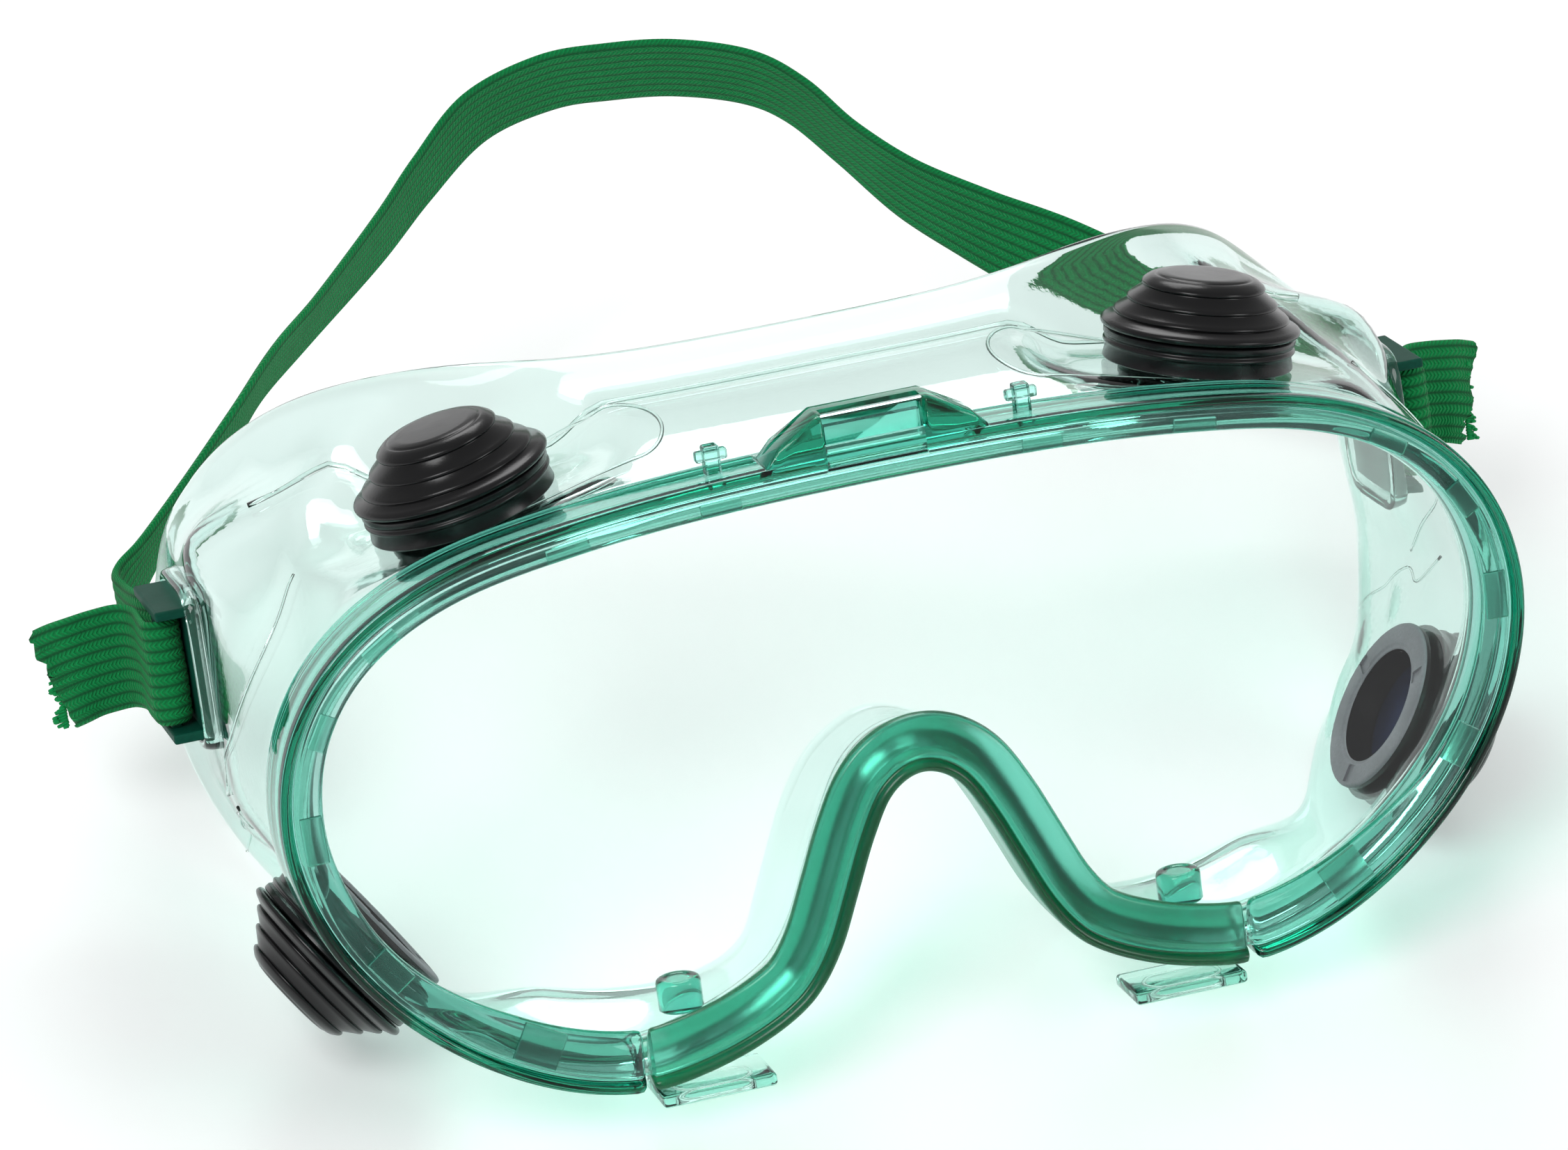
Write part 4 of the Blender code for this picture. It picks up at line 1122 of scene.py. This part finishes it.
# ---------------------------------------------------------------- webbing
def web_section(sizes, ribs, ripple=0.0, phase=0.0):
    """(offset across, offset through, across mark) round the webbing's ribbed section."""
    half, thick = STRAP_WIDTH / 2, STRAP_THICK / 2
    per = 6
    out = []
    for face in (1, -1):
        for k in range(ribs * per + 1):
            u = k / (ribs * per)
            if face < 0:
                u = 1 - u
            crown = abs(math.sin(u * ribs * math.pi)) ** 0.7
            edge = min(1.0, min(u, 1 - u) * ribs * 1.6) ** 0.5
            high = (thick - sizes.webbing_relief * (1 - crown)) * max(edge, 0.0)
            if k in (0, ribs * per):
                continue
            out.append(((u * 2 - 1) * half, face * high + ripple * math.sin(u * 9 + phase), u))
        out.append(((1 if face > 0 else -1) * half * 1.0, 0.0, 1.0 if face > 0 else 0.0))
    return out


def web_run(name, rows, per_mm, context, frayed=(False, False), waves=0.0):
    """Webbing along (centre, width direction) rows, with cut ends that wave and fray where asked."""
    sizes = context.scene.goggles_sizes
    ribs = sizes.webbing_ribs
    gaps = [np.linalg.norm(np.array(a[0]) - np.array(b[0])) for a, b in zip(rows, rows[1:])]
    spans = [max(1, round(g * per_mm)) for g in gaps]
    centres = spline([r[0] for r in rows], spans)
    widths = spline([r[1] for r in rows], spans)
    tangent = np.gradient(centres, axis=0)
    tangent /= np.linalg.norm(tangent, axis=1, keepdims=True)
    run = np.concatenate([[0], np.cumsum(np.linalg.norm(np.diff(centres, axis=0), axis=1))])
    total = run[-1]
    rings = []
    chance = random.Random(name)
    jag = [chance.uniform(-0.45, 0.45) for _ in range(ribs * 2 + 2)]
    for k, (c, w, t) in enumerate(zip(centres, widths, tangent)):
        w = w - t * float(w @ t)
        w /= np.linalg.norm(w)
        through = np.cross(t, w)
        near = 0.0
        if frayed[1]:
            near = smooth_step(1 - (total - run[k]) / 9.0)
        section = web_section(sizes, ribs, waves * (0.3 + near), run[k] * 0.35)
        ring = []
        for a, b, u in section:
            pull = jag[int(u * (len(jag) - 1))] * (near ** 3) * 1.3 if frayed[1] else 0.0
            ring.append(c + w * a + through * b + t * pull)
        rings.append(ring)
    marks = (run, [u for _, _, u in section])
    work = bmesh.new()
    skin_through(work, rings, marks=marks)
    return work, centres, widths, tangent


def inner_run():
    """How far out the webbing lies where it runs in along the clip's plate."""
    return CLIP_AT[0] + SLEEVE + CLIP_PLATE + 0.2 + STRAP_THICK / 2


def tail_rows(side):
    """The cut tail: round the clip's bar, back over it and away."""
    x, y, z = CLIP_AT
    inner = inner_run()
    outer = x + SLEEVE + CLIP_BAR_HIGH + CLIP_BAR_THICK / 2 + 0.8 + STRAP_THICK / 2
    front = y + CLIP_BAR_AT - CLIP_BAR_LONG / 2 - SLEEVE - STRAP_THICK / 2
    points = [
        (inner, y - 2.0, z), (inner + 0.25, front + 0.9, z), ((inner + outer) / 2, front, z),
        (outer - 0.25, front + 0.9, z),
        (outer, y - 1.0, z), (outer, y + 4.5, z), (outer + 1.6, y + 7.6, z), (outer + 5.0, y + 9.0, z - 0.5),
        (outer + 8.4, y + 9.8, z - 1.2), (outer + 11.4, y + 11.4, z - 2.4),
    ]
    return [((side * px, py, pz), (0.0, 0.0, 1.0)) for px, py, pz in points]


class GOGGLES_OT_headband(bpy.types.Operator):
    """Build the ribbed elastic headband, its cut tails and their frayed threads"""
    bl_idname = "goggles.headband"
    bl_label = "Headband"

    def execute(self, context):
        x, y, z = CLIP_AT
        inner = inner_run()
        lead = [((-inner, y - 1.6, z), (0, 0, 1)), ((-inner, y + 4.0, z), (0, 0, 1)),
            ((-(inner + 0.4), y + 9.0, z), (0, 0, 1))]
        tail = [((-p[0], p[1], p[2]), w) for p, w in lead][::-1]
        work, *_ = web_run("headband_webbing", lead + STRAP_PATH + tail, 1.0, context)
        loop = piece_from(work, "headband_webbing")
        wear(loop, finish("webbing"), None, ["head_strap"])
        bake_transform(loop)
        for side, tag in ((-1, "left"), (1, "right")):
            self.tail(side, tag, context)
        return {"FINISHED"}

    def tail(self, side, tag, context):
        name = f"webbing_tail_{tag}"
        work, centres, widths, tangent = web_run(name, tail_rows(side), 1.6, context, (False, True),
            waves=0.22)
        self.threads(work, centres[-1], tangent[-1], name)
        tail = piece_from(work, name)
        wear(tail, finish("webbing"), FRAME_BODY, [f"strap_end_{tag}"])

    def threads(self, work, end, heading, name):
        """Short loops of thread that stand out of the cut end."""
        chance = random.Random(name + "threads")
        count = 34
        for k in range(count):
            across = np.array([0, 0, ((k + 0.5) / count * 2 - 1) * (STRAP_WIDTH / 2 - 0.3)])
            root = end - heading * 1.1 + across
            reach = chance.uniform(1.2, 2.0)
            drift = np.array([chance.uniform(-0.35, 0.35), chance.uniform(-0.35, 0.35),
                chance.uniform(-0.3, 0.3)])
            path = [root, root + heading * reach * 0.7 + drift * 0.5, root + heading * reach + drift,
                root + heading * reach * 0.6 + drift * 1.5]
            bead(work, spline(path, [3] * 3), 0.24, closed=False, sides=6)


# ---------------------------------------------------------------- lens
class GOGGLES_OT_lens(bpy.types.Operator):
    """Give the flat lens its clear finish"""
    bl_idname = "goggles.lens"
    bl_label = "Lens"

    def execute(self, context):
        node = frame["nodes"]["lens"]
        for slot in node.material_slots:
            slot.material = finish("lens")
        if not node.material_slots:
            node.data.materials.append(finish("lens"))
        return {"FINISHED"}


# ---------------------------------------------------------------- stage
class GOGGLES_OT_stage(bpy.types.Operator):
    """Lay a pale floor and set soft studio lamps, a pale sky and the camera"""
    bl_idname = "goggles.stage"
    bl_label = "Stage"

    def execute(self, context):
        scene = context.scene
        scene.view_settings.view_transform = "Standard"
        self.floor()
        self.sky(scene)
        self.lamp("Key lamp", (-0.55, -0.35, 0.95), 0.45, 4.4)
        self.lamp("Fill lamp", (0.75, -0.55, 0.55), 0.35, 1.8)
        self.lamp("Back lamp", (0.15, 0.85, 0.65), 0.5, 3.6)
        self.camera(scene)
        return {"FINISHED"}

    def floor(self):
        work = bmesh.new()
        bmesh.ops.create_grid(work, x_segments=1, y_segments=1, size=3.0)
        bmesh.ops.translate(work, vec=(0, 0, -0.0002), verts=work.verts)
        floor = piece_from(work, "floor", smooth=False)
        mat, tree, shader, _, where = start_finish("Pale floor")
        cloud = noise(tree, where, 3.0)
        link(tree, mix_colour(tree, cloud, (0.93, 0.935, 0.94), (0.96, 0.96, 0.965)),
            shader.inputs["Base Color"])
        shader.inputs["Roughness"].default_value = 0.9
        shader.inputs["Specular IOR Level"].default_value = 0.1
        shader.inputs["Emission Color"].default_value = (1, 1, 1, 1)
        shader.inputs["Emission Strength"].default_value = 0.12
        floor.data.materials.append(mat)

    def sky(self, scene):
        world = bpy.data.worlds.new("Pale studio")
        world.use_nodes = True
        tree = world.node_tree
        back = tree.nodes["Background"]
        back.inputs["Color"].default_value = (1, 1, 1, 1)
        back.inputs["Strength"].default_value = 0.5
        scene.world = world

    def lamp(self, name, at, size, power):
        data = bpy.data.lights.new(name, "AREA")
        data.shape = "SQUARE"
        data.size = size
        data.energy = power
        lamp = bpy.data.objects.new(name, data)
        lamp.location = at
        lamp.rotation_euler = (Vector((0, 0, 0.04)) - Vector(at)).to_track_quat("-Z", "Y").to_euler()
        bpy.context.scene.collection.objects.link(lamp)

    def camera(self, scene):
        data = bpy.data.cameras.new("Camera")
        data.lens = 186.13
        data.sensor_width = 36.0
        data.clip_end = 20.0
        camera = bpy.data.objects.new("Camera", data)
        eye, aim = Vector((-0.2475, -0.8131, 0.7901)), Vector((-0.0055, -0.0187, 0.04))
        camera.location = eye
        camera.rotation_euler = (aim - eye).to_track_quat("-Z", "Y").to_euler()
        scene.collection.objects.link(camera)
        scene.camera = camera


# ---------------------------------------------------------------- panel and registration
OPERATORS = (
    GOGGLES_OT_stage, GOGGLES_OT_headband, GOGGLES_OT_skirt, GOGGLES_OT_rim, GOGGLES_OT_bridge,
    GOGGLES_OT_vents, GOGGLES_OT_clips, GOGGLES_OT_lens,
)


class GOGGLES_PT_panel(bpy.types.Panel):
    """Lists the goggles' sizes, colours and building steps"""
    bl_idname = "GOGGLES_PT_panel"
    bl_label = "Safety goggles"
    bl_space_type = "VIEW_3D"
    bl_region_type = "UI"
    bl_category = "Goggles"

    def draw(self, context):
        for settings in (context.scene.goggles_sizes, context.scene.goggles_looks):
            box = self.layout.box()
            for name in settings.__annotations__:
                box.prop(settings, name)
        for operator in OPERATORS:
            self.layout.operator(operator.bl_idname)


CLASSES = (GogglesSizes, GogglesLooks, *OPERATORS, GOGGLES_PT_panel)


def register():
    for item in CLASSES:
        bpy.utils.register_class(item)
    bpy.types.Scene.goggles_sizes = PointerProperty(type=GogglesSizes)
    bpy.types.Scene.goggles_looks = PointerProperty(type=GogglesLooks)


def unregister():
    del bpy.types.Scene.goggles_looks
    del bpy.types.Scene.goggles_sizes
    for item in reversed(CLASSES):
        bpy.utils.unregister_class(item)


def main():
    register()
    bpy.ops.goggles.stage()
    bpy.ops.goggles.headband()
    bpy.ops.goggles.skirt()
    bpy.ops.goggles.rim()
    bpy.ops.goggles.bridge()
    bpy.ops.goggles.vents()
    bpy.ops.goggles.clips()
    bpy.ops.goggles.lens()


if __name__ == "__main__":
    main()
